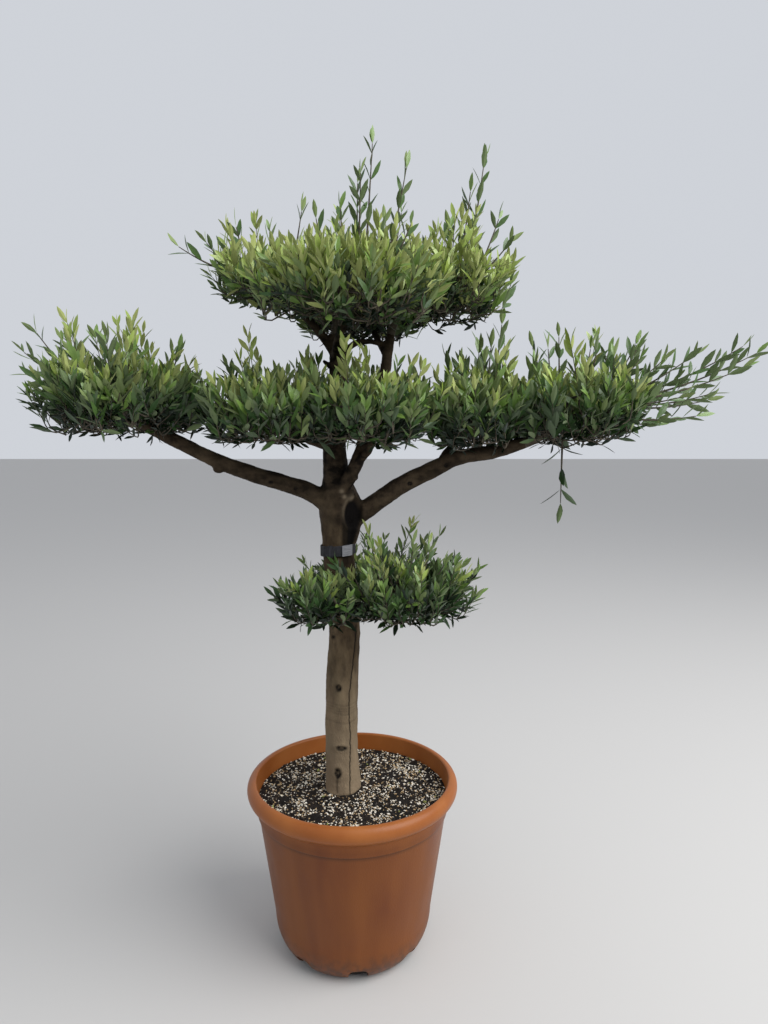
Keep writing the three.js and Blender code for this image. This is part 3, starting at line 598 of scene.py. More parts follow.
# Each knot's place, its half width and its half height
KNOTS = [
    (-36, -50, 763, 9, 11), (-30, -52, 590, 17, 8), (-39, -54, 518, 11, 16), (8, 30, 900, 12, 14),
    (-60, 30, 700, 12, 10), (-50, -42, 905, 7, 6), (-20, 44, 560, 10, 13), (-150, -30, 1318, 8, 7),
    (-215, -50, 1334, 7, 6), (160, -36, 1330, 8, 7), (258, -40, 1380, 7, 6), (-70, -20, 1560, 7, 7),
]
KNOT_DEPTH = 24
KNOT_RIM, KNOT_HOLLOW = 2.2, 2.5
DRIP = [(-40, 503), (-42, 484), (-41, 463)]
DRIP_REACH = 3.5
WRINKLE_HEIGHTS = [714, 705, 697, 689, 664]
WRINKLE_DEPTH, WRINKLE_REACH, WRINKLE_STAIN, WRINKLE_WAVE = 1.0, 1.8, 2.2, 2.5
WRINKLES_END = 1140
BLOOM_TOP, PALE_TOP, PALE_FOOT = 950, 850, 450
# From these heights up, and out on the boughs, the bark is darkened: partly darker young wood, partly painted
# shade under the crown.
YOUNG_AND_SHADED_FROM, YOUNG_AND_SHADED_LATER = (1150, 85), (1270, 55)
TRUNK_MIDDLE, TRUNK_HALF = -35, 60

places = smoothed(wood.data, coordinates(wood.data), SMOOTHINGS)
wood.data.vertices.foreach_set("co", places.ravel())
wood.data.update()
normals = np.zeros(len(places) * 3)
wood.data.vertex_normals.foreach_get("vector", normals)
normals = normals.reshape(-1, 3)

nearest = np.full(len(places), np.inf)
along_limb = np.zeros(len(places))
round_limb = np.zeros(len(places))
limb_radius = np.zeros(len(places))
for name, line in limb_lines.items():
    side, other = crossways(line)
    gaps = np.linalg.norm(places[:, None, :] - line[None, :, :], axis=2) - limb_radii[name][None, :]
    best = gaps.argmin(1)
    gap = gaps[np.arange(len(places)), best]
    closer = gap < nearest
    away = places - line[best]
    angle = np.arctan2((away * other[best]).sum(1), (away * side[best]).sum(1))
    nearest[closer] = gap[closer]
    along_limb[closer] = (best * LIMB_STEP + (away * tangents(line)[best]).sum(1))[closer]
    round_limb[closer] = angle[closer]
    limb_radius[closer] = limb_radii[name][best][closer]


def noise_at(points, octaves=3):
    """Fractal noise at each of the points."""
    return np.array([noise.fractal(Vector(p), 0.9, 2.0, octaves) for p in points])


def before(distance, fade):
    """1 on the near side of an edge and 0 past it, by the distance past it."""
    return 1 / (1 + np.exp(distance / fade))


def fading(gap, reach):
    """1 on a feature, and next to nothing at twice its reach."""
    return np.exp(-((gap / reach) ** 2))


on_front = before(places[:, 1] - FRONT_EDGE * MM, FRONT_FADE * MM)
x, z = places[:, 0] / MM, places[:, 2] / MM


def near(points, reach):
    """How near each place on the front is to a line of points along x and z, from 0 to 1."""
    line = through([(*p, 0) for p in points], 120)[:, :2]
    gap = np.hypot(x[:, None] - line[None, :, 0], z[:, None] - line[None, :, 1]).min(1)
    return fading(gap, reach) * on_front


on_skin = [turned * limb_radius * STREAKS_ROUND for turned in (np.cos(round_limb), np.sin(round_limb))]
streaked = noise_at(np.column_stack([*on_skin, along_limb * STREAKS_ALONG]))
lumpy = noise_at(places * LUMPS, 2)
rough = noise_at(places * SPECKS, 2)
height = STREAK_DEPTH * MM * streaked + LUMP_DEPTH * MM * lumpy + ROUGH_DEPTH * MM * rough
crack = near(CRACK, CRACK_REACH)
groove = near(GROOVE, GROOVE_REACH)
height -= CRACK_DEPTH * MM * crack + GROOVE_DEPTH * MM * groove
scar = 0.3 * crack + 0.7 * groove + 0.6 * near(DRIP, DRIP_REACH)
oval = np.hypot((x - WOUND[0]) / WOUND_HALF[0], (z - WOUND[1]) / WOUND_HALF[1])
hollow = np.exp(-(oval**8)) * on_front
rim = fading(oval - 1.22, 0.22) * on_front
height += WOUND_RIM * MM * rim - WOUND_DEPTH * MM * hollow
# Darkening under the wound on the right of the trunk: partly a stain from the wound, partly painted shade.
stain_and_shade = before(STAIN_SHADE_EDGE - x, STAIN_SHADE_EDGE_FADE) * before(z - STAIN_SHADE_TOP, STAIN_SHADE_FADE)
stain_and_shade *= before(STAIN_SHADE_FOOT - z, STAIN_SHADE_FADE)
scar += 1.2 * hollow + 0.84 * stain_and_shade * on_front
callus = sum(fading(np.hypot(x - at_x, z - at_z), CALLUS_REACH) for at_x, at_z in CALLUS) * on_front
height += CALLUS_HEIGHT * MM * callus
pale = 0.75 * callus + 0.3 * rim * (x < WOUND[0])
for knot_x, knot_y, knot_z, half_width, half_height in KNOTS:
    away = [(x - knot_x) / half_width, (places[:, 1] / MM - knot_y) / KNOT_DEPTH, (z - knot_z) / half_height]
    gap = np.linalg.norm(away, axis=0)
    height += KNOT_RIM * MM * np.exp(-((gap - 1.2) ** 2) * 6) - KNOT_HOLLOW * MM * np.exp(-((gap * 1.4) ** 2))
    heart = 1 - 0.62 * np.exp(-((gap * 2.1) ** 2))
    scar += 1.3 * np.exp(-((gap * 1.1) ** 4)) * heart * (1 + 0.5 * rough)
on_trunk = (places[:, 2] < WRINKLES_END * MM).astype(float)
wobble = WRINKLE_WAVE * MM * np.sin(3 * round_limb + 1)
for level in WRINKLE_HEIGHTS:
    gap = places[:, 2] - level * MM - wobble
    height -= WRINKLE_DEPTH * MM * fading(gap, WRINKLE_REACH * MM) * on_trunk
    scar += 0.25 * fading(gap, WRINKLE_STAIN * MM) * on_trunk
places = places + normals * height[:, None]
places[:, 2] = np.maximum(places[:, 2], SOIL_AT_TRUNK - SOIL_GAP)
wood.data.vertices.foreach_set("co", places.ravel())
wood.data.polygons.foreach_set("use_smooth", [True] * len(wood.data.polygons))
wood.data.update()
# The share of dark bark: partly darker young wood, partly painted shade under the crown, from the fork up and
# on the boughs.
beside = np.clip((abs(x - TRUNK_MIDDLE) - TRUNK_HALF) / TRUNK_HALF, 0, 1)
darker, darkest = (np.clip((z - start) / span, 0, 1) for start, span in (YOUNG_AND_SHADED_FROM, YOUNG_AND_SHADED_LATER))
shade = (1 - beside) * (0.66 * darker + 0.34 * darkest) + 0.8 * beside
for name, values in (("scar", np.clip(scar, 0, 1)), ("callus", np.clip(pale, 0, 1)), ("young_wood", shade)):
    wood.data.attributes.new(name, "FLOAT", "POINT").data.foreach_set("value", values.astype(np.float32))


def crack_line(tree, across, inwards, height, wandering):
    """How much of the fine dark crack shows: a line down the trunk's front that wavers along CRACK."""
    top, foot = CRACK[0][1] * MM, CRACK[-1][1] * MM
    along = add(tree, "ShaderNodeMapRange", {"Value": height, "From Min": foot, "From Max": top}).outputs[0]
    course = add(tree, "ShaderNodeFloatCurve", {"Value": along})
    points = course.mapping.curves[0].points
    for at_x, at_z in CRACK[1:-1]:
        points.new((at_z * MM - foot) / (top - foot), 0.5 + at_x / CRACK_SPREAD)
    points[0].location = (0, 0.5 + CRACK[-1][0] / CRACK_SPREAD)
    points[len(points) - 1].location = (1, 0.5 + CRACK[0][0] / CRACK_SPREAD)
    course.mapping.update()
    half = CRACK_SPREAD / 2 * MM
    span = {"Value": course.outputs[0], "To Min": -half, "To Max": half}
    middle = add(tree, "ShaderNodeMapRange", span).outputs[0]
    span = {"Value": wandering, "To Min": -CRACK_WAVER * MM, "To Max": CRACK_WAVER * MM}
    waver = add(tree, "ShaderNodeMapRange", span).outputs[0]
    bent = add(tree, "ShaderNodeMath", {0: middle, 1: waver}, operation="ADD").outputs[0]
    gap = add(tree, "ShaderNodeMath", {0: across, 1: bent}, operation="SUBTRACT").outputs[0]
    gap = add(tree, "ShaderNodeMath", {0: gap}, operation="ABSOLUTE").outputs[0]
    span = {"Value": gap, "From Min": CRACK_EDGE * MM, "From Max": CRACK_CORE * MM, "To Max": 0.85}
    line = add(tree, "ShaderNodeMapRange", span).outputs[0]
    front = add(tree, "ShaderNodeMath", {0: inwards, 1: FRONT_EDGE * MM}, operation="LESS_THAN").outputs[0]
    span = {"Value": height, "From Min": top, "From Max": top - CRACK_TOP_FADE * MM}
    ending = add(tree, "ShaderNodeMapRange", span).outputs[0]
    for share in (front, ending):
        line = add(tree, "ShaderNodeMath", {0: line, 1: share}, operation="MULTIPLY").outputs[0]
    return line


def olive_bark():
    """Thin smooth bark: grey-beige on the trunk with a bloom of algae low down, darker on the boughs and up
    from the fork, partly as young wood and partly as painted shade under the crown.
    """
    material, tree, shader, place = finish_named("olive bark", 0.85, 1.45)
    shader.inputs["Specular IOR Level"].default_value = 0.15
    across, inwards, height = add(tree, "ShaderNodeSeparateXYZ", {0: place}).outputs
    colour = mixed(tree, pattern(tree, place, (75, 75, 26), 5), "#3f3327", "#564735")
    colour = mixed(tree, pattern(tree, place, (22, 22, 9), 4, 0.45, 0.7), colour, "#786750")
    fall = {"Value": height, "From Min": BLOOM_TOP * MM, "From Max": PALE_FOOT * MM, "To Max": 0.3}
    low = add(tree, "ShaderNodeMapRange", fall).outputs[0]
    bloom = {0: low, 1: pattern(tree, place, (18, 18, 7), 4)}
    algae = add(tree, "ShaderNodeMath", bloom, operation="MULTIPLY").outputs[0]
    colour = mixed(tree, algae, colour, "#6c6a4c")
    fall = {"Value": height, "From Min": PALE_TOP * MM, "From Max": PALE_FOOT * MM, "To Max": 0.7}
    colour = mixed(tree, add(tree, "ShaderNodeMapRange", fall).outputs[0], colour, "#9b8870")
    dark_and_shaded_wood = mixed(tree, pattern(tree, place, (26, 40, 40), 5, 0.4, 0.62), "#17120d", "#453a2d")
    # The dark wood stands for darker young wood and for painted shade under the crown; the near-black scars
    # also carry painted shade on the right of the trunk under the wound.
    for attribute, tone in (("young_wood", dark_and_shaded_wood), ("callus", "#8d7f6b"), ("scar", "#0c0908")):
        share = add(tree, "ShaderNodeAttribute", attribute_name=attribute).outputs["Fac"]
        colour = mixed(tree, share, colour, tone)
    wandering = pattern(tree, place, (30, 30, 60), 4)
    colour = mixed(tree, crack_line(tree, across, inwards, height, wandering), colour, "#120d0a")
    tree.links.new(colour, shader.inputs["Base Color"])
    relief(tree, shader, pattern(tree, place, (420, 420, 130), 5), 0.55, 0.0015)
    return material


wood.data.materials.clear()
wood.data.materials.append(olive_bark())
declare(wood, "trunk_bark", *LIMBS)

# A black rubber strap is buckled round the trunk under the fork, with a bare grey plastic plate on its front.
# The band is ribbed, its free end is tucked under a keeper, and it lies tight on the bark.

STRAP_HEIGHT = 1146 * MM
STRAP_MIDDLE = -38 * MM
STRAP_WIDTH = 29 * MM
STRAP_INNER = 46.2 * MM
STRAP_THICK = 2.6 * MM
STRAP_RIBS, RIB_HEIGHT = 90, 0.25 * MM
STRAP_TILT = -0.07
PLATE_WIDTH = 32 * MM
PLATE_HEIGHT = 30 * MM
PLATE_THICK = 2 * MM
PLATE_CLEARANCE = 0.5 * MM
PLATE_EDGE = 0.7 * MM
PLATE_TURN = math.radians(33.75)
KEEPER_TURN = math.radians(-22)
KEEPER_HALF = 0.14
TAIL_BEFORE, TAIL_PAST = 0.5, 0.34


def ring_band(name, inner, thick, width, start, end, count, ribs, material):
    """A band bent round the trunk from one angle to another, closed where they make a full turn."""
    full = end - start > 2 * math.pi - 0.01
    bevel, up = thick * 0.3, width / 2
    section = [
        (0, bevel - up), (bevel, -up), (thick - bevel, -up), (thick, bevel - up),
        (thick, up - bevel), (thick - bevel, up), (bevel, up), (0, up - bevel),
    ]
    vertices, faces = [], []
    for a in np.linspace(start, end, count, endpoint=not full):
        rib = RIB_HEIGHT * math.sin(ribs * a)
        for out, rise in section:
            radius = inner + out + (rib if out > bevel else 0)
            x, y = radius * math.sin(a), -radius * math.cos(a)
            vertices.append((STRAP_MIDDLE + x, y, STRAP_HEIGHT + rise - STRAP_TILT * x))
    size = len(section)
    for i in range(count if full else count - 1):
        here, there = i * size, (i + 1) % count * size
        faces += [(here + k, there + k, there + (k + 1) % size, here + (k + 1) % size) for k in range(size)]
    if not full:
        faces.append(list(range(size)))
        faces.append([(count - 1) * size + k for k in reversed(range(size))])
    return piece_of(name, vertices, faces, material, smooth=False)


def outwards(piece):
    """Turns the faces of a closed piece outwards."""
    made = bmesh.new()
    made.from_mesh(piece.data)
    bmesh.ops.recalc_face_normals(made, faces=made.faces)
    made.to_mesh(piece.data)
    made.free()
    return piece


def strap_rubber():
    """Matt black rubber, greyed by dust along its ribs."""
    material, tree, shader, place = finish_named("black rubber", 0.7, 1.52)
    colour = mixed(tree, pattern(tree, place, (200, 200, 60), 4), "#17171a", "#35343a")
    tree.links.new(colour, shader.inputs["Base Color"])
    relief(tree, shader, pattern(tree, place, (900, 900, 300), 3), 0.4)
    return material


def plate_plastic():
    """Bare weathered polystyrene, with fine scuffs."""
    material, tree, shader, place = finish_named("weathered polystyrene", 0.55, 1.59)
    colour = mixed(tree, pattern(tree, place, (60, 60, 400), 4), "#75757b", "#8f8f94")
    tree.links.new(colour, shader.inputs["Base Color"])
    relief(tree, shader, pattern(tree, place, (500, 500, 1500), 3), 0.25)
    return material


rubber = strap_rubber()
for name, inner, thick, width, start, end, count, ribs, nodes in (
    ("strap", STRAP_INNER, STRAP_THICK, STRAP_WIDTH, 0, 2 * math.pi, 360, STRAP_RIBS, ["strap"]),
    ("strap_keeper", STRAP_INNER + STRAP_THICK * 0.9, 3 * MM, STRAP_WIDTH + 5 * MM,
     KEEPER_TURN - KEEPER_HALF, KEEPER_TURN + KEEPER_HALF, 12, 0, []),
    ("strap_tail", STRAP_INNER + STRAP_THICK * 0.95, 2 * MM, STRAP_WIDTH * 0.8,
     KEEPER_TURN - TAIL_BEFORE, KEEPER_TURN + TAIL_PAST, 40, STRAP_RIBS, []),
):
    band = outwards(ring_band(name, inner, thick, width, start, end, count, ribs, rubber))
    declare(band, "strap_rubber", *nodes)

plate_out = STRAP_INNER + STRAP_THICK + PLATE_CLEARANCE + PLATE_THICK / 2
corners = [(x, y, z) for x in (-0.5, 0.5) for y in (-0.5, 0.5) for z in (-0.5, 0.5)]
sides = [(0, 1, 3, 2), (4, 6, 7, 5), (0, 4, 5, 1), (2, 3, 7, 6), (0, 2, 6, 4), (1, 5, 7, 3)]
plate = piece_of("strap_plate", corners, sides, plate_plastic(), smooth=False)
for vertex in plate.data.vertices:
    x, y, z = vertex.co.x * PLATE_WIDTH, vertex.co.y * PLATE_THICK - plate_out, vertex.co.z * PLATE_HEIGHT
    turned_x = x * math.cos(PLATE_TURN) - y * math.sin(PLATE_TURN)
    turned_y = x * math.sin(PLATE_TURN) + y * math.cos(PLATE_TURN)
    vertex.co = (STRAP_MIDDLE + turned_x, turned_y, STRAP_HEIGHT + z - STRAP_TILT * turned_x)
bevel = plate.modifiers.new("moulded edges", "BEVEL")
bevel.width = PLATE_EDGE
bevel.segments = 3
plain(outwards(plate))
declare(plate, "plate_plastic", "strap_plate")

# The crown is pruned into flat clouds. Each grows from the tip of one limb: shoots fan out from its stem by
# the golden angle, a few long ones rise over it, and finer twigs with leaves fill the room between them.

# Each cloud's centre, its half sizes along x and y and up and down, and the tips of its long shoots
Cloud = namedtuple("Cloud", "name limb centre half shoots lean tips")
CLOUDS = [
    Cloud("top_middle", "leader", (10, 0, 1880), (175, 150, 76, 145), 6, (0, 0), [
        (66, 20, 2275), (170, -30, 2193), (20, 60, 2185),
    ]),
    Cloud("top_left", "bough_top_left", (-212, 0, 1872), (152, 215, 54, 60), 7, (-0.15, 0), [
        (-487, -60, 1961), (-434, 60, 2006), (-322, -40, 2041), (-112, 30, 2100),
    ]),
    Cloud("top_right", "second_stem", (245, 0, 1862), (172, 215, 66, 110), 8, (0.12, 0), [
        (370, 0, 2229), (265, -60, 2035), (460, -40, 1985), (352, 60, 2050),
    ]),
    Cloud("top_front", "bough_top_front", (5, -220, 1830), (240, 165, 70, 118), 9, (0, -0.12), [
        (-20, -160, 2050), (120, -250, 1990),
    ]),
    Cloud("top_back", "bough_top_back", (30, 230, 1850), (225, 170, 78, 115), 7, (0, 0.12), [
        (-90, 250, 2085), (160, 200, 2150),
    ]),
    Cloud("middle_left", "bough_middle_left", (-190, -100, 1522), (190, 200, 80, 90), 9, (-0.1, -0.1), [
        (-350, -80, 1668),
    ]),
    Cloud("middle_right", "bough_middle_right", (48, -155, 1518), (172, 185, 80, 88), 8, (0.1, -0.1), [
        (150, -120, 1672),
    ]),
    Cloud("middle_back", "bough_middle_back", (-70, 170, 1535), (215, 140, 90, 95), 7, (0, 0.1), [
        (-160, 190, 1680),
    ]),
    Cloud("left", "bough_left", (-560, -90, 1556), (222, 235, 88, 104), 11, (-0.2, 0), [
        (-895, -60, 1694), (-855, -60, 1752), (-655, -100, 1722), (-520, -60, 1712), (-400, -110, 1700),
        (-735, -140, 1470),
    ]),
    Cloud("right_inner", "bough_right_inner", (345, 0, 1522), (170, 225, 96, 108), 8, (0.05, 0), [
        (410, -60, 1795), (290, 60, 1700),
    ]),
    Cloud("right_outer", "bough_right", (575, -20, 1530), (195, 225, 90, 100), 10, (0.25, 0), [
        (550, -30, 1768), (690, 0, 1752), (790, -60, 1715), (893, 40, 1668), (1114, -60, 1688),
        (1030, 30, 1560), (563, -60, 1231),
    ]),
    Cloud("low_left", "bough_low_left", (-66, -125, 1044), (126, 155, 52, 72), 6, (-0.1, -0.1), []),
    Cloud("low_right", "bough_low_right", (135, -110, 1052), (195, 175, 72, 78), 8, (0.1, -0.1), [
        (340, -70, 1120), (180, -60, 1215),
    ]),
    Cloud("low_back", "bough_low_back", (60, 140, 1050), (215, 125, 46, 66), 6, (0.1, 0.1), [
        (290, 90, 1190),
    ]),
]
# More slender long shoots, too fine for the solids
SLENDER = {
    "top_middle": [(32, 0, 2195)],
    "top_left": [(-380, 40, 1985), (-205, -60, 2030)],
    "top_right": [(330, -20, 2140), (430, 40, 2075)],
    "top_front": [(-90, -260, 2000), (190, -220, 1985)],
    "top_back": [(260, 240, 2060), (-180, 220, 2030)],
    "middle_left": [(-280, -140, 1650), (-160, -160, 1630)],
    "middle_right": [(-10, -200, 1625), (190, -160, 1630)],
    "middle_back": [(-20, 220, 1680)],
    "left": [(-870, -110, 1625), (-840, -40, 1560), (-815, 20, 1741), (-765, -60, 1722), (-700, 60, 1735),
             (-590, -140, 1700), (-460, 20, 1710), (-640, 120, 1735), (-800, 0, 1660), (-780, -180, 1640)],
    "right_inner": [(385, -20, 1740), (440, 20, 1730), (350, -120, 1680), (250, 120, 1710)],
    "right_outer": [(525, 20, 1740), (650, -60, 1730), (735, 40, 1720), (960, -20, 1690), (1050, -120, 1640),
                    (900, 110, 1570), (820, 0, 1690), (1085, -40, 1710), (1001, -40, 1573), (941, -120, 1507),
                    (851, -60, 1480), (866, -60, 1678), (804, 0, 1735), (920, 0, 1620), (880, -160, 1560)],
    "low_right": [(240, -40, 1175), (215, -120, 1160), (290, -100, 1145)],
}
# Lengths and radii are in millimetres, and leaf sizes are shares of the 60 mm of a full-grown leaf
LEAF_SIZE = {"top": 0.88, "middle": 0.89, "left": 0.91, "right": 0.94, "low": 0.76}
# Each plate's shift to lighter or darker tints: painted light on the top plate, painted shade on the low one.
LEAF_LIGHT = {"top": 0.66, "middle": -0.2, "left": -0.17, "right": -0.17, "low": -0.66}
# Seeds and draws are the source's, where a cloud's solid core takes the first draws
FIRST_SEED, SEED_STEP = 11, 7
CORE_DRAWS = 42
LEAF_SEED = 100
LOWEST_SHOOT = -0.45
GOLDEN_ANGLE = math.pi * (3 - math.sqrt(5))
TURN_SCATTER = 0.6
SHOOT_START, SHOOT_END, SHOOT_END_SCATTER = 0.45, 0.8, 0.12
SHOOT_SAG = 0.22
LONG_START, LONG_RISE, LONG_SAG, END_LEAF = 0.5, 0.3, 0.1, 48
STEM_STEPS, STEM_TAPER, STEM_SINK = 9, (0.95, 0.45), 0.25
LINK_STEPS, LINK_SAG, LINK_RADII = 5, 10, (6.5, 4.2)
SHOOT_STEPS, LONG_STEPS, SHOOT_RADII = 8, 12, (4.0, 1.1)
SHOOT_LEAFY, LONG_LEAFY = 0.6, 0.95
LONG_LEAF, HANGING_LEAF = 1.1, 1.25
TWIGS_PER_LITRE = 10.3
TWIG_LENGTH = (75, 140)
TWIG_LOWEST = -0.86
TWIG_FLOOR = 1.0
TWIG_SHARE = (0.42, 1.02)
TWIG_STEPS, TWIG_RADII = 9, (2.1, 0.8)
TWIG_KNEE, TWIG_BOW, TWIG_DIP = 0.15, 4, 6
TWIG_LEAFY = 0.85
TWIG_LEAF, TWIG_LEAF_SCATTER = 0.85, 0.3
UPPER_HEIGHT, UPPER_RISING = 0.1, 1.25
MIDDLE_HEIGHT, MIDDLE_RISING = -0.25, 0.9
LOWER_RISING = 0.35
OUTWARD, SCATTERED = 0.62, 0.7
TALL_SHARE = 0.42
TALL_RISE = 125
TALL_GAP = 1.6
PAIR_GAP, SHOOT_GAP = 17, 1.3
LONG_PAIR_GAP, HANGING_GAP = 39, 1.15
UNDER_HEIGHT = -0.12
UNDER_LENGTH = 0.85
UNDER_LEAF = 0.7
UNDER_SHADE = 0.48
LEAF_LENGTH = 60
LEAF_LENGTHS = (0.8, 1.12)
LEAF_MISSING = 0.06
LEAF_RISE, LONG_LEAF_RISE = 0.1, 0.3
LEAF_SPREAD, LEAF_SPREAD_SCATTER = 0.66, 0.13
LEAF_TURN_SCATTER = 0.18
LEAF_FACES_UP, LEAF_FACES_SCATTER = 0.35, 0.5
PAIR_GAPS = (0.8, 1.25)
TIP_REACH, TIP_CLOSING, TIP_SMALLER, TIP_GAP = 30, 0.32, 0.2, 0.75
YOUNG_TIP = 22
TINTS = ("young", "fresh", "middle", "dark", "deep")
TINT_STEPS = [-0.2, 0.1, 0.5, 0.88]
TINT_BY_RISE, TINT_BY_SHARE, TINT_BY_LUCK = 0.82, 0.7, 0.44
LONG_TINT, HANGING_TINT = 2, 3
BRANCH_RADIUS = 4
LEAF_MIDDLE, WOOD_CLEARANCE = 0.6, 3
WORD = 0xFFFFFFFF

# A twig bears pairs of leaves, a gap apart, from its tip down over its leafy length
Spray = namedtuple("Spray", "line radii leafy gap tint size", defaults=[1.0])
Leaf = namedtuple("Leaf", "root direction facing length tint")


def seeded(seed):
    """Seeded numbers from 0 to 1."""
    state = seed & WORD

    def draw():
        nonlocal state
        state = (state + 0x6D2B79F5) & WORD
        value = ((state ^ (state >> 15)) * (state | 1)) & WORD
        value ^= (value + (((value ^ (value >> 7)) * (value | 61)) & WORD)) & WORD
        return ((value ^ (value >> 14)) & WORD) / (WORD + 1)

    return draw


def in_round(cloud, direction, share):
    """A place at a share of the cloud's rounded space, in millimetres."""
    half_x, half_y, up, down = cloud.half
    reach = np.array([half_x, half_y, up if direction[2] > 0 else down])
    return np.array(cloud.centre) + share * reach * direction


def bezier(start, bend, end, count):
    """Points of a curve from start to end that is drawn towards a bend."""
    t = np.linspace(0, 1, count)[:, None]
    return (1 - t) ** 2 * start + 2 * t * (1 - t) * bend + t**2 * end


def unit(vector):
    """The direction of a vector, one long."""
    return vector / np.linalg.norm(vector)


def fanned(i, count, lowest, draw):
    """The direction of one of a number of shoots that fan out by the golden angle, and its level share."""
    height = lowest + (1 - lowest) * (i + 0.5) / count
    ring = math.sqrt(1 - height * height)
    turn = i * GOLDEN_ANGLE + TURN_SCATTER * draw()
    return np.array([ring * math.cos(turn), ring * math.sin(turn), height]), ring


def main_shoots(cloud, draw):
    """The shoots that the solids have: start, bend and end of each, and whether it is a long one."""
    centre, lean = np.array(cloud.centre, float), np.array([*cloud.lean, 0.0])
    half_x, half_y, up, _ = cloud.half
    found = []
    for i in range(cloud.shoots):
        direction, ring = fanned(i, cloud.shoots, LOWEST_SHOOT, draw)
        start = in_round(cloud, direction, SHOOT_START)
        reach = SHOOT_END + SHOOT_END_SCATTER * draw()
        end = in_round(cloud, direction, reach) + lean * up * (1 + direction[2])
        sag = SHOOT_SAG * math.dist(start, end) * ring
        found.append((start, (start + end) / 2 - np.array([0, 0, sag]), end, False))
    for tip in cloud.tips + SLENDER.get(cloud.name, []):
        end = np.array(tip, float)
        away = end - centre
        end -= away * END_LEAF / np.linalg.norm(away)
        direction = np.array([away[0] / half_x, away[1] / half_y, 0])
        direction *= min(np.linalg.norm(direction), 1) / np.linalg.norm(direction)
        direction[2] = LONG_RISE * np.sign(away[2])
        start = in_round(cloud, direction, LONG_START)
        sag = LONG_SAG * math.dist(start, end) * min(np.linalg.norm(direction), 1)
        found.append((start, (start + end) / 2 - np.array([0, 0, sag]), end, True))
    return found


def tint_of(rise, share, luck):
    """Leaves at the top and outside get lighter tints and those under and inside darker ones: partly young
    growth, partly painted light above and painted shade below and within.
    """
    score = TINT_BY_RISE * rise + TINT_BY_SHARE * (share - 0.6) + TINT_BY_LUCK * luck
    return len(TINT_STEPS) - int(np.searchsorted(TINT_STEPS, score))


def plate_of(cloud):
    """The plate of foliage that a cloud is part of."""
    return cloud.name.split("_")[0]


def framework(cloud, draw):
    """A cloud's stem, grown on from its limb, with its main shoots, and the places that twigs can join."""
    size = LEAF_SIZE[plate_of(cloud)]
    centre = np.array(cloud.centre, float)
    limb, radii = limb_lines[cloud.limb] / MM, limb_radii[cloud.limb] / MM
    tip, heading = limb[-1], tangents(limb)[-1]
    bend = tip + heading * 0.5 * math.dist(tip, centre)
    stem = bezier(limb[-2], bend, centre - (0, 0, STEM_SINK * cloud.half[3]), STEM_STEPS)
    sprays = [Spray(stem, radii[-1] * np.linspace(*STEM_TAPER, STEM_STEPS), 0, 1, 0)]
    nodes = [stem[2:]]
    for start, bend, end, long in main_shoots(cloud, draw):
        path = bezier(start, bend, end, LONG_STEPS if long else SHOOT_STEPS)
        joint = stem[2 + int(np.linalg.norm(stem[2:] - start, axis=1).argmin())]
        link = bezier(joint, (joint + start) / 2 - (0, 0, LINK_SAG), start, LINK_STEPS)[:-1]
        line = np.vstack([link, path])
        thick = np.concatenate([np.linspace(*LINK_RADII, len(link)), np.linspace(*SHOOT_RADII, len(path))])
        length = np.linalg.norm(np.diff(path, axis=0), axis=1).sum()
        if not long:
            rise = np.clip((end[2] - centre[2]) / cloud.half[2], -1, 1)
            tint = tint_of(rise, 0.9, 0)
            sprays.append(Spray(line, thick, length * SHOOT_LEAFY, PAIR_GAP * SHOOT_GAP, tint, size))
        elif end[2] < centre[2] - cloud.half[3]:
            gap = LONG_PAIR_GAP * HANGING_GAP
            sprays.append(Spray(line, thick, length * LONG_LEAFY, gap, HANGING_TINT, size * HANGING_LEAF))
        else:
            sprays.append(Spray(line, thick, length * LONG_LEAFY, LONG_PAIR_GAP, LONG_TINT, size * LONG_LEAF))
        nodes.append(line[2:])
    return sprays, nodes


def twig_plans(cloud, draw):
    """A cloud's finer twigs, from the inside out: end, direction, length, tint, luck, gap and leaf size."""
    leaf_size, light = LEAF_SIZE[plate_of(cloud)], LEAF_LIGHT[plate_of(cloud)]
    half_x, half_y, up, down = cloud.half
    litres = 4 / 3 * math.pi * half_x * half_y * (up + down) / 2 / 1e6
    count = round(litres * TWIGS_PER_LITRE / leaf_size)
    lean = np.array([*cloud.lean, 0.0])
    plans = []
    for i in range(count):
        direction, _ = fanned(i, count, TWIG_LOWEST, draw)
        height = direction[2]
        share = TWIG_SHARE[0] + (TWIG_SHARE[1] - TWIG_SHARE[0]) * math.sqrt(draw())
        tall = draw() < TALL_SHARE and height > UPPER_HEIGHT and cloud.tips
        under = height < UNDER_HEIGHT
        end = in_round(cloud, direction, share) + lean * up * (1 + height) * share
        scatter = np.array([draw() - 0.5, draw() - 0.5, draw() - 0.5])
        rising = MIDDLE_RISING if height > MIDDLE_HEIGHT else LOWER_RISING
        rising = UPPER_RISING if height > UPPER_HEIGHT else rising
        outward = np.array([direction[0], direction[1], 0.5 * height])
        gesture = unit(outward * OUTWARD + (0, 0, rising) + SCATTERED * scatter)
        length = TWIG_LENGTH[0] + (TWIG_LENGTH[1] - TWIG_LENGTH[0]) * draw()
        if tall:
            rise = TALL_RISE * draw() * height
            end = end + gesture * rise
            length += rise
        length *= UNDER_LENGTH if under else 1
        gap = PAIR_GAP * leaf_size * (TALL_GAP if tall else 1)
        size = leaf_size * (UNDER_LEAF if under else 1)
        # Leaves low in the cloud and deep inside it take darker tints: painted shade under and within the
        # plate.
        tint = tint_of(height, share + light - (UNDER_SHADE if under else 0), 2 * draw() - 1)
        plans.append((share, (end, gesture, length, tint, draw(), gap, size)))
    return [plan for _, plan in sorted(plans, key=lambda pair: pair[0])]


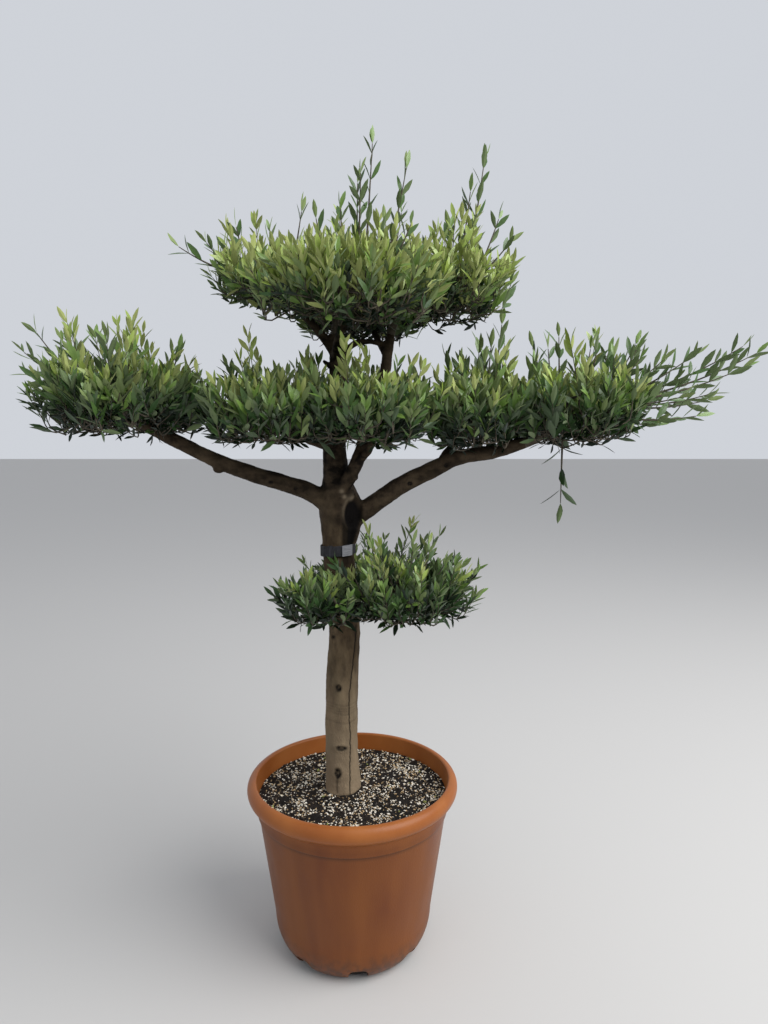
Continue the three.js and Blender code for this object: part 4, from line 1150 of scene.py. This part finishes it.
def grown(cloud, number):
    """All twigs of a cloud, each joined to the nearest wood that is there before it."""
    draw = seeded(FIRST_SEED + SEED_STEP * number)
    for _ in range(CORE_DRAWS):
        draw()
    sprays, nodes = framework(cloud, draw)
    lowest = cloud.centre[2] - TWIG_FLOOR * cloud.half[3]
    for end, gesture, length, tint, luck, gap, size in twig_plans(cloud, draw):
        base = end - gesture * length
        base[2] = max(base[2], lowest)
        end[2] = max(end[2], base[2] - TWIG_DIP)
        reached = np.vstack(nodes)
        joint = reached[np.linalg.norm(reached - base, axis=1).argmin()]
        knee = base + gesture * length * TWIG_KNEE
        middle = (knee + end) / 2 + (0, 0, (2 * luck - 1) * TWIG_BOW)
        path = through([(*place, 0) for place in (joint, knee, middle, end)], TWIG_STEPS)[:, :3]
        size *= TWIG_LEAF + TWIG_LEAF_SCATTER * luck
        sprays.append(Spray(path, np.linspace(*TWIG_RADII, TWIG_STEPS), length * TWIG_LEAFY, gap, tint, size))
        nodes.append(path[3:7])
    return sprays


def leaves_on(spray, luck):
    """The leaves of a twig, in opposite pairs, each turned from the last, with younger ones at its tip."""
    if not spray.leafy:
        return []
    steps = np.linalg.norm(np.diff(spray.line, axis=0), axis=1)
    run = np.concatenate([[0], np.cumsum(steps)])
    along = tangents(spray.line)
    lift = LONG_LEAF_RISE if spray.gap >= LONG_PAIR_GAP else LEAF_RISE
    found = []
    turn = luck.uniform(0, math.pi)
    from_tip = 0.0
    while from_tip < min(spray.leafy, run[-1] - 3):
        at = run[-1] - from_tip
        root = np.array([np.interp(at, run, spray.line[:, axis]) for axis in range(3)])
        tangent = unit(np.array([np.interp(at, run, along[:, axis]) for axis in range(3)]))
        side = unit(np.cross(tangent, (0.02, 0.01, 1.0)) + 1e-6)
        other = np.cross(tangent, side)
        young = math.exp(-from_tip / TIP_REACH)
        for half in (0, math.pi):
            if luck.random() < LEAF_MISSING:
                continue
            angle = turn + half + luck.normal(0, LEAF_TURN_SCATTER)
            out = math.cos(angle) * side + math.sin(angle) * other
            spread = LEAF_SPREAD - TIP_CLOSING * young + luck.normal(0, LEAF_SPREAD_SCATTER)
            direction = unit(tangent * math.cos(spread) + out * math.sin(spread) + (0, 0, lift))
            length = LEAF_LENGTH * spray.size * (1 - TIP_SMALLER * young) * luck.uniform(*LEAF_LENGTHS)
            facing = tangent + LEAF_FACES_UP * np.array([0, 0, 1.0]) + luck.normal(0, LEAF_FACES_SCATTER, 3)
            tint = max(spray.tint - (from_tip < YOUNG_TIP), 0)
            found.append(Leaf(root, direction, facing, length, tint))
        turn += math.pi / 2
        from_tip += spray.gap * luck.uniform(*PAIR_GAPS) * (TIP_GAP if young > 0.5 else 1)
    return found


def leaf_blade():
    """A leaf along x, one long: a closed blade of 24 triangles, folded along its rib and a little arched."""
    stations = [(0.22, 0.62), (0.52, 1.0), (0.82, 0.58)]
    half_width, thick, fold, arching = 0.138, 0.012, 0.022, 0.1
    vertices = [(0, 0, 0)]
    for at, width in stations:
        drop = -arching * at**2
        edge = half_width * width
        side = drop + fold * width
        vertices += [(at, -edge, side), (at, 0, drop + thick / 2), (at, edge, side), (at, 0, drop - thick)]
    vertices.append((1, 0, -arching))
    faces, below = [], []
    for k in range(4):
        nxt = (k + 1) % 4
        faces.append((0, 1 + nxt, 1 + k))
        for s in range(2):
            low, high = 1 + 4 * s, 5 + 4 * s
            faces.append((low + k, low + nxt, high + nxt, high + k))
        faces.append((9 + k, 9 + nxt, 13))
        below += [k > 1] * 4
    blade = outwards(piece_of("leaf_blade", vertices, faces, smooth=False))
    blade.data.attributes.new("below", "BOOLEAN", "FACE").data.foreach_set("value", below)
    return blade


def leaf_tree():
    """Geometry Nodes: a leaf on every point, turned and sized by the point, finished above and below."""
    tree, given = group_with("leaves", {"Leaf": "Object", "Upper side": "Material", "Underside": "Material"})
    leaf = add(tree, "GeometryNodeObjectInfo", {"Object": given["Leaf"]}).outputs["Geometry"]
    held = {
        name: add(tree, "GeometryNodeInputNamedAttribute", {"Name": name}, data_type=kind).outputs[0]
        for name, kind in (("turn", "FLOAT_VECTOR"), ("size", "FLOAT"), ("below", "BOOLEAN"))
    }
    rotation = add(tree, "FunctionNodeEulerToRotation", {0: held["turn"]}).outputs[0]
    borne = {"Points": given["Geometry"], "Instance": leaf, "Rotation": rotation, "Scale": held["size"]}
    leaves = add(tree, "GeometryNodeInstanceOnPoints", borne).outputs[0]
    real = add(tree, "GeometryNodeRealizeInstances", {0: leaves}).outputs[0]
    upper = {"Geometry": real, "Material": given["Upper side"]}
    finished = add(tree, "GeometryNodeSetMaterial", upper).outputs[0]
    lower = {"Geometry": finished, "Selection": held["below"], "Material": given["Underside"]}
    add(tree, "NodeGroupOutput", {0: add(tree, "GeometryNodeSetMaterial", lower).outputs[0]})
    return tree


def twig_tree():
    """Geometry Nodes: a tapering tube round every line of edges."""
    tree, given = group_with("twigs", {"Sides": "Int", "Material": "Material"})
    curve = add(tree, "GeometryNodeMeshToCurve", {0: given["Geometry"]}).outputs[0]
    radius = add(tree, "GeometryNodeInputNamedAttribute", {"Name": "thick"}, data_type="FLOAT").outputs[0]
    circle = {"Resolution": given["Sides"], "Radius": 1.0}
    ring = add(tree, "GeometryNodeCurvePrimitiveCircle", circle).outputs[0]
    skin = {"Curve": curve, "Profile Curve": ring, "Scale": radius, "Fill Caps": True}
    tubes = add(tree, "GeometryNodeCurveToMesh", skin).outputs[0]
    real = add(tree, "GeometryNodeRealizeInstances", {0: tubes}).outputs[0]
    finished = add(tree, "GeometryNodeSetMaterial", {"Geometry": real, "Material": given["Material"]})
    add(tree, "NodeGroupOutput", {0: finished.outputs[0]})
    return tree


def leaf_skin(name, colour, roughness, gloss, sheen=0.0):
    """One side of a leaf in one plain colour: waxy and half glossy above, felted and matt below."""
    material, _, shader, _ = finish_named(name, roughness, 1.45)
    shader.inputs["Specular IOR Level"].default_value = gloss
    shader.inputs["Base Color"].default_value = linear(colour)
    shader.inputs["Sheen Weight"].default_value = sheen
    return material


def twig_bark():
    """Young bark, grey-brown and matt."""
    material, tree, shader, place = finish_named("young olive bark", 0.8, 1.45)
    colour = mixed(tree, pattern(tree, place, (90, 90, 90), 3), "#3a332b", "#5d5546")
    tree.links.new(colour, shader.inputs["Base Color"])
    return material


def lines_mesh(name, sprays):
    """The lines of twigs as edges, with how thick they are at each point."""
    vertices, edges, thick = [], [], []
    for spray in sprays:
        first = len(vertices)
        vertices += (spray.line * MM).tolist()
        edges += [(first + i, first + i + 1) for i in range(len(spray.line) - 1)]
        thick += (np.asarray(spray.radii) * MM).tolist()
    mesh = bpy.data.meshes.new(name)
    mesh.from_pydata(vertices, edges, [])
    mesh.attributes.new("thick", "FLOAT", "POINT").data.foreach_set("value", thick)
    return mesh


def leaf_points(name, leaves):
    """Points at the roots of leaves, with the turn and the size of each."""
    roots = np.array([leaf.root for leaf in leaves]) * MM
    along = np.array([leaf.direction for leaf in leaves])
    across = np.cross([leaf.facing for leaf in leaves], along)
    across /= np.linalg.norm(across, axis=1)[:, None]
    up = np.cross(along, across)
    roll = np.arctan2(across[:, 2], up[:, 2])
    pitch = -np.arcsin(np.clip(along[:, 2], -1, 1))
    turn = np.column_stack([roll, pitch, np.arctan2(along[:, 1], along[:, 0])])
    mesh = bpy.data.meshes.new(name)
    mesh.from_pydata(roots.tolist(), [], [])
    mesh.attributes.new("turn", "FLOAT_VECTOR", "POINT").data.foreach_set("vector", turn.ravel())
    lengths = [leaf.length * MM for leaf in leaves]
    mesh.attributes.new("size", "FLOAT", "POINT").data.foreach_set("value", lengths)
    return mesh


# Lit and shaded copies of one leaf, besides the leaves' own lighter young colour: the lighter tints carry
# painted light, and the darker, less glossy ones painted shade.
UPPER = {"young": "#90a34c", "fresh": "#68843d", "middle": "#496432", "dark": "#324a28", "deep": "#1b2718"}
UNDER = {"young": "#a2ab68", "fresh": "#7c8d58", "middle": "#65764e", "dark": "#46563c", "deep": "#28342a"}
GLOSS = {"young": 0.65, "fresh": 0.65, "middle": 0.5, "dark": 0.25, "deep": 0.12}
plates = {plate: [] for plate in LEAF_SIZE}
wood_places = np.vstack([line / MM for line in limb_lines.values()])
wood_clear = np.concatenate([radius / MM for radius in limb_radii.values()]) + WOOD_CLEARANCE
for number, cloud in enumerate(CLOUDS):
    luck = np.random.default_rng(LEAF_SEED + number)
    sprays = grown(cloud, number)
    leaves = {tint: [] for tint in TINTS}
    for spray in sprays:
        for leaf in leaves_on(spray, luck):
            middle = leaf.root + leaf.direction * leaf.length * LEAF_MIDDLE
            if (np.linalg.norm(wood_places - middle, axis=1) > wood_clear).all():
                leaves[TINTS[leaf.tint]].append(leaf)
    plates[plate_of(cloud)].append((cloud, sprays, leaves))

blade, leaves_tree, twigs_tree = leaf_blade(), leaf_tree(), twig_tree()
uppers = {tint: leaf_skin(f"waxy olive leaf, {tint}", UPPER[tint], 0.36, GLOSS[tint]) for tint in TINTS}
unders = {tint: leaf_skin(f"felted olive leaf, {tint}", UNDER[tint], 0.75, 0.2, 0.15) for tint in TINTS}
young_bark = twig_bark()
for plate, clouds in plates.items():
    sprays = [spray for _, sprays, _ in clouds for spray in sprays]
    branches = [spray for spray in sprays if spray.radii[0] > BRANCH_RADIUS]
    twigs = [spray for spray in sprays if spray.radii[0] <= BRANCH_RADIUS]
    nodes = [f"cloud_{cloud.name}" for cloud, _, _ in clouds]
    for kind, lines, sides, replaced in (("branches", branches, 7, nodes), ("twigs", twigs, 4, [])):
        name = f"{plate}_{kind}"
        values = {"Sides": sides, "Material": young_bark}
        declare(made_by(name, twigs_tree, lines_mesh(name, lines), values), "bough_bark", *replaced)
    for tint in TINTS:
        name = f"{plate}_leaves_{tint}"
        points = [leaf for _, _, leaves in clouds for leaf in leaves[tint]]
        values = {"Leaf": blade, "Upper side": uppers[tint], "Underside": unders[tint]}
        if points:
            declare(made_by(name, leaves_tree, leaf_points(name, points), values), "foliage")
bpy.data.objects.remove(blade)

# The floor is plain and pale. Light comes softly from a pale sky and from one large lamp at the right, and
# the camera stands where the picture was taken.

FLOOR_HALF = 40
SKY_STRENGTH = 0.81
LAMP_POWER, LAMP_SIZE = 430, 6.0
LAMP_PLACE, LAMP_AIM = (3.8, -2.0, 5.0), (0, 0, 1.2)
CAMERA_PLACE = (0.090, -1.955, 1.464)
CAMERA_PITCH = math.radians(6.27)
CAMERA_LENS, SENSOR_WIDTH = 24.96, 36


def placed(name, data, location, turn):
    """A lamp or camera in its place."""
    item = bpy.data.objects.new(name, data)
    item.location = location
    item.rotation_euler = turn
    bpy.context.scene.collection.objects.link(item)
    return item


floor_material, _, floor_shader, _ = finish_named("pale floor", 0.9)
floor_shader.inputs["Base Color"].default_value = linear("#c3c1be")
floor_corners = [(x * FLOOR_HALF, y * FLOOR_HALF, 0) for x, y in ((-1, -1), (1, -1), (1, 1), (-1, 1))]
floor = piece_of("floor", floor_corners, [(0, 1, 2, 3)], floor_material, smooth=False)

world = bpy.data.worlds.new("pale sky")
world.use_nodes = True
sky = world.node_tree.nodes["Background"]
sky.inputs[0].default_value = linear("#e3e7ee")
sky.inputs[1].default_value = SKY_STRENGTH
bpy.context.scene.world = world
bpy.context.scene.view_settings.view_transform = "Standard"

lamp = bpy.data.lights.new("soft lamp", "AREA")
lamp.energy = LAMP_POWER
lamp.shape = "DISK"
lamp.size = LAMP_SIZE
lamp_turn = (Vector(LAMP_AIM) - Vector(LAMP_PLACE)).to_track_quat("-Z", "Y").to_euler()
placed("soft lamp", lamp, LAMP_PLACE, lamp_turn)

camera = bpy.data.cameras.new("camera")
camera.lens = CAMERA_LENS
camera.sensor_width = SENSOR_WIDTH
bpy.context.scene.camera = placed("camera", camera, CAMERA_PLACE, (math.pi / 2 - CAMERA_PITCH, 0, 0))
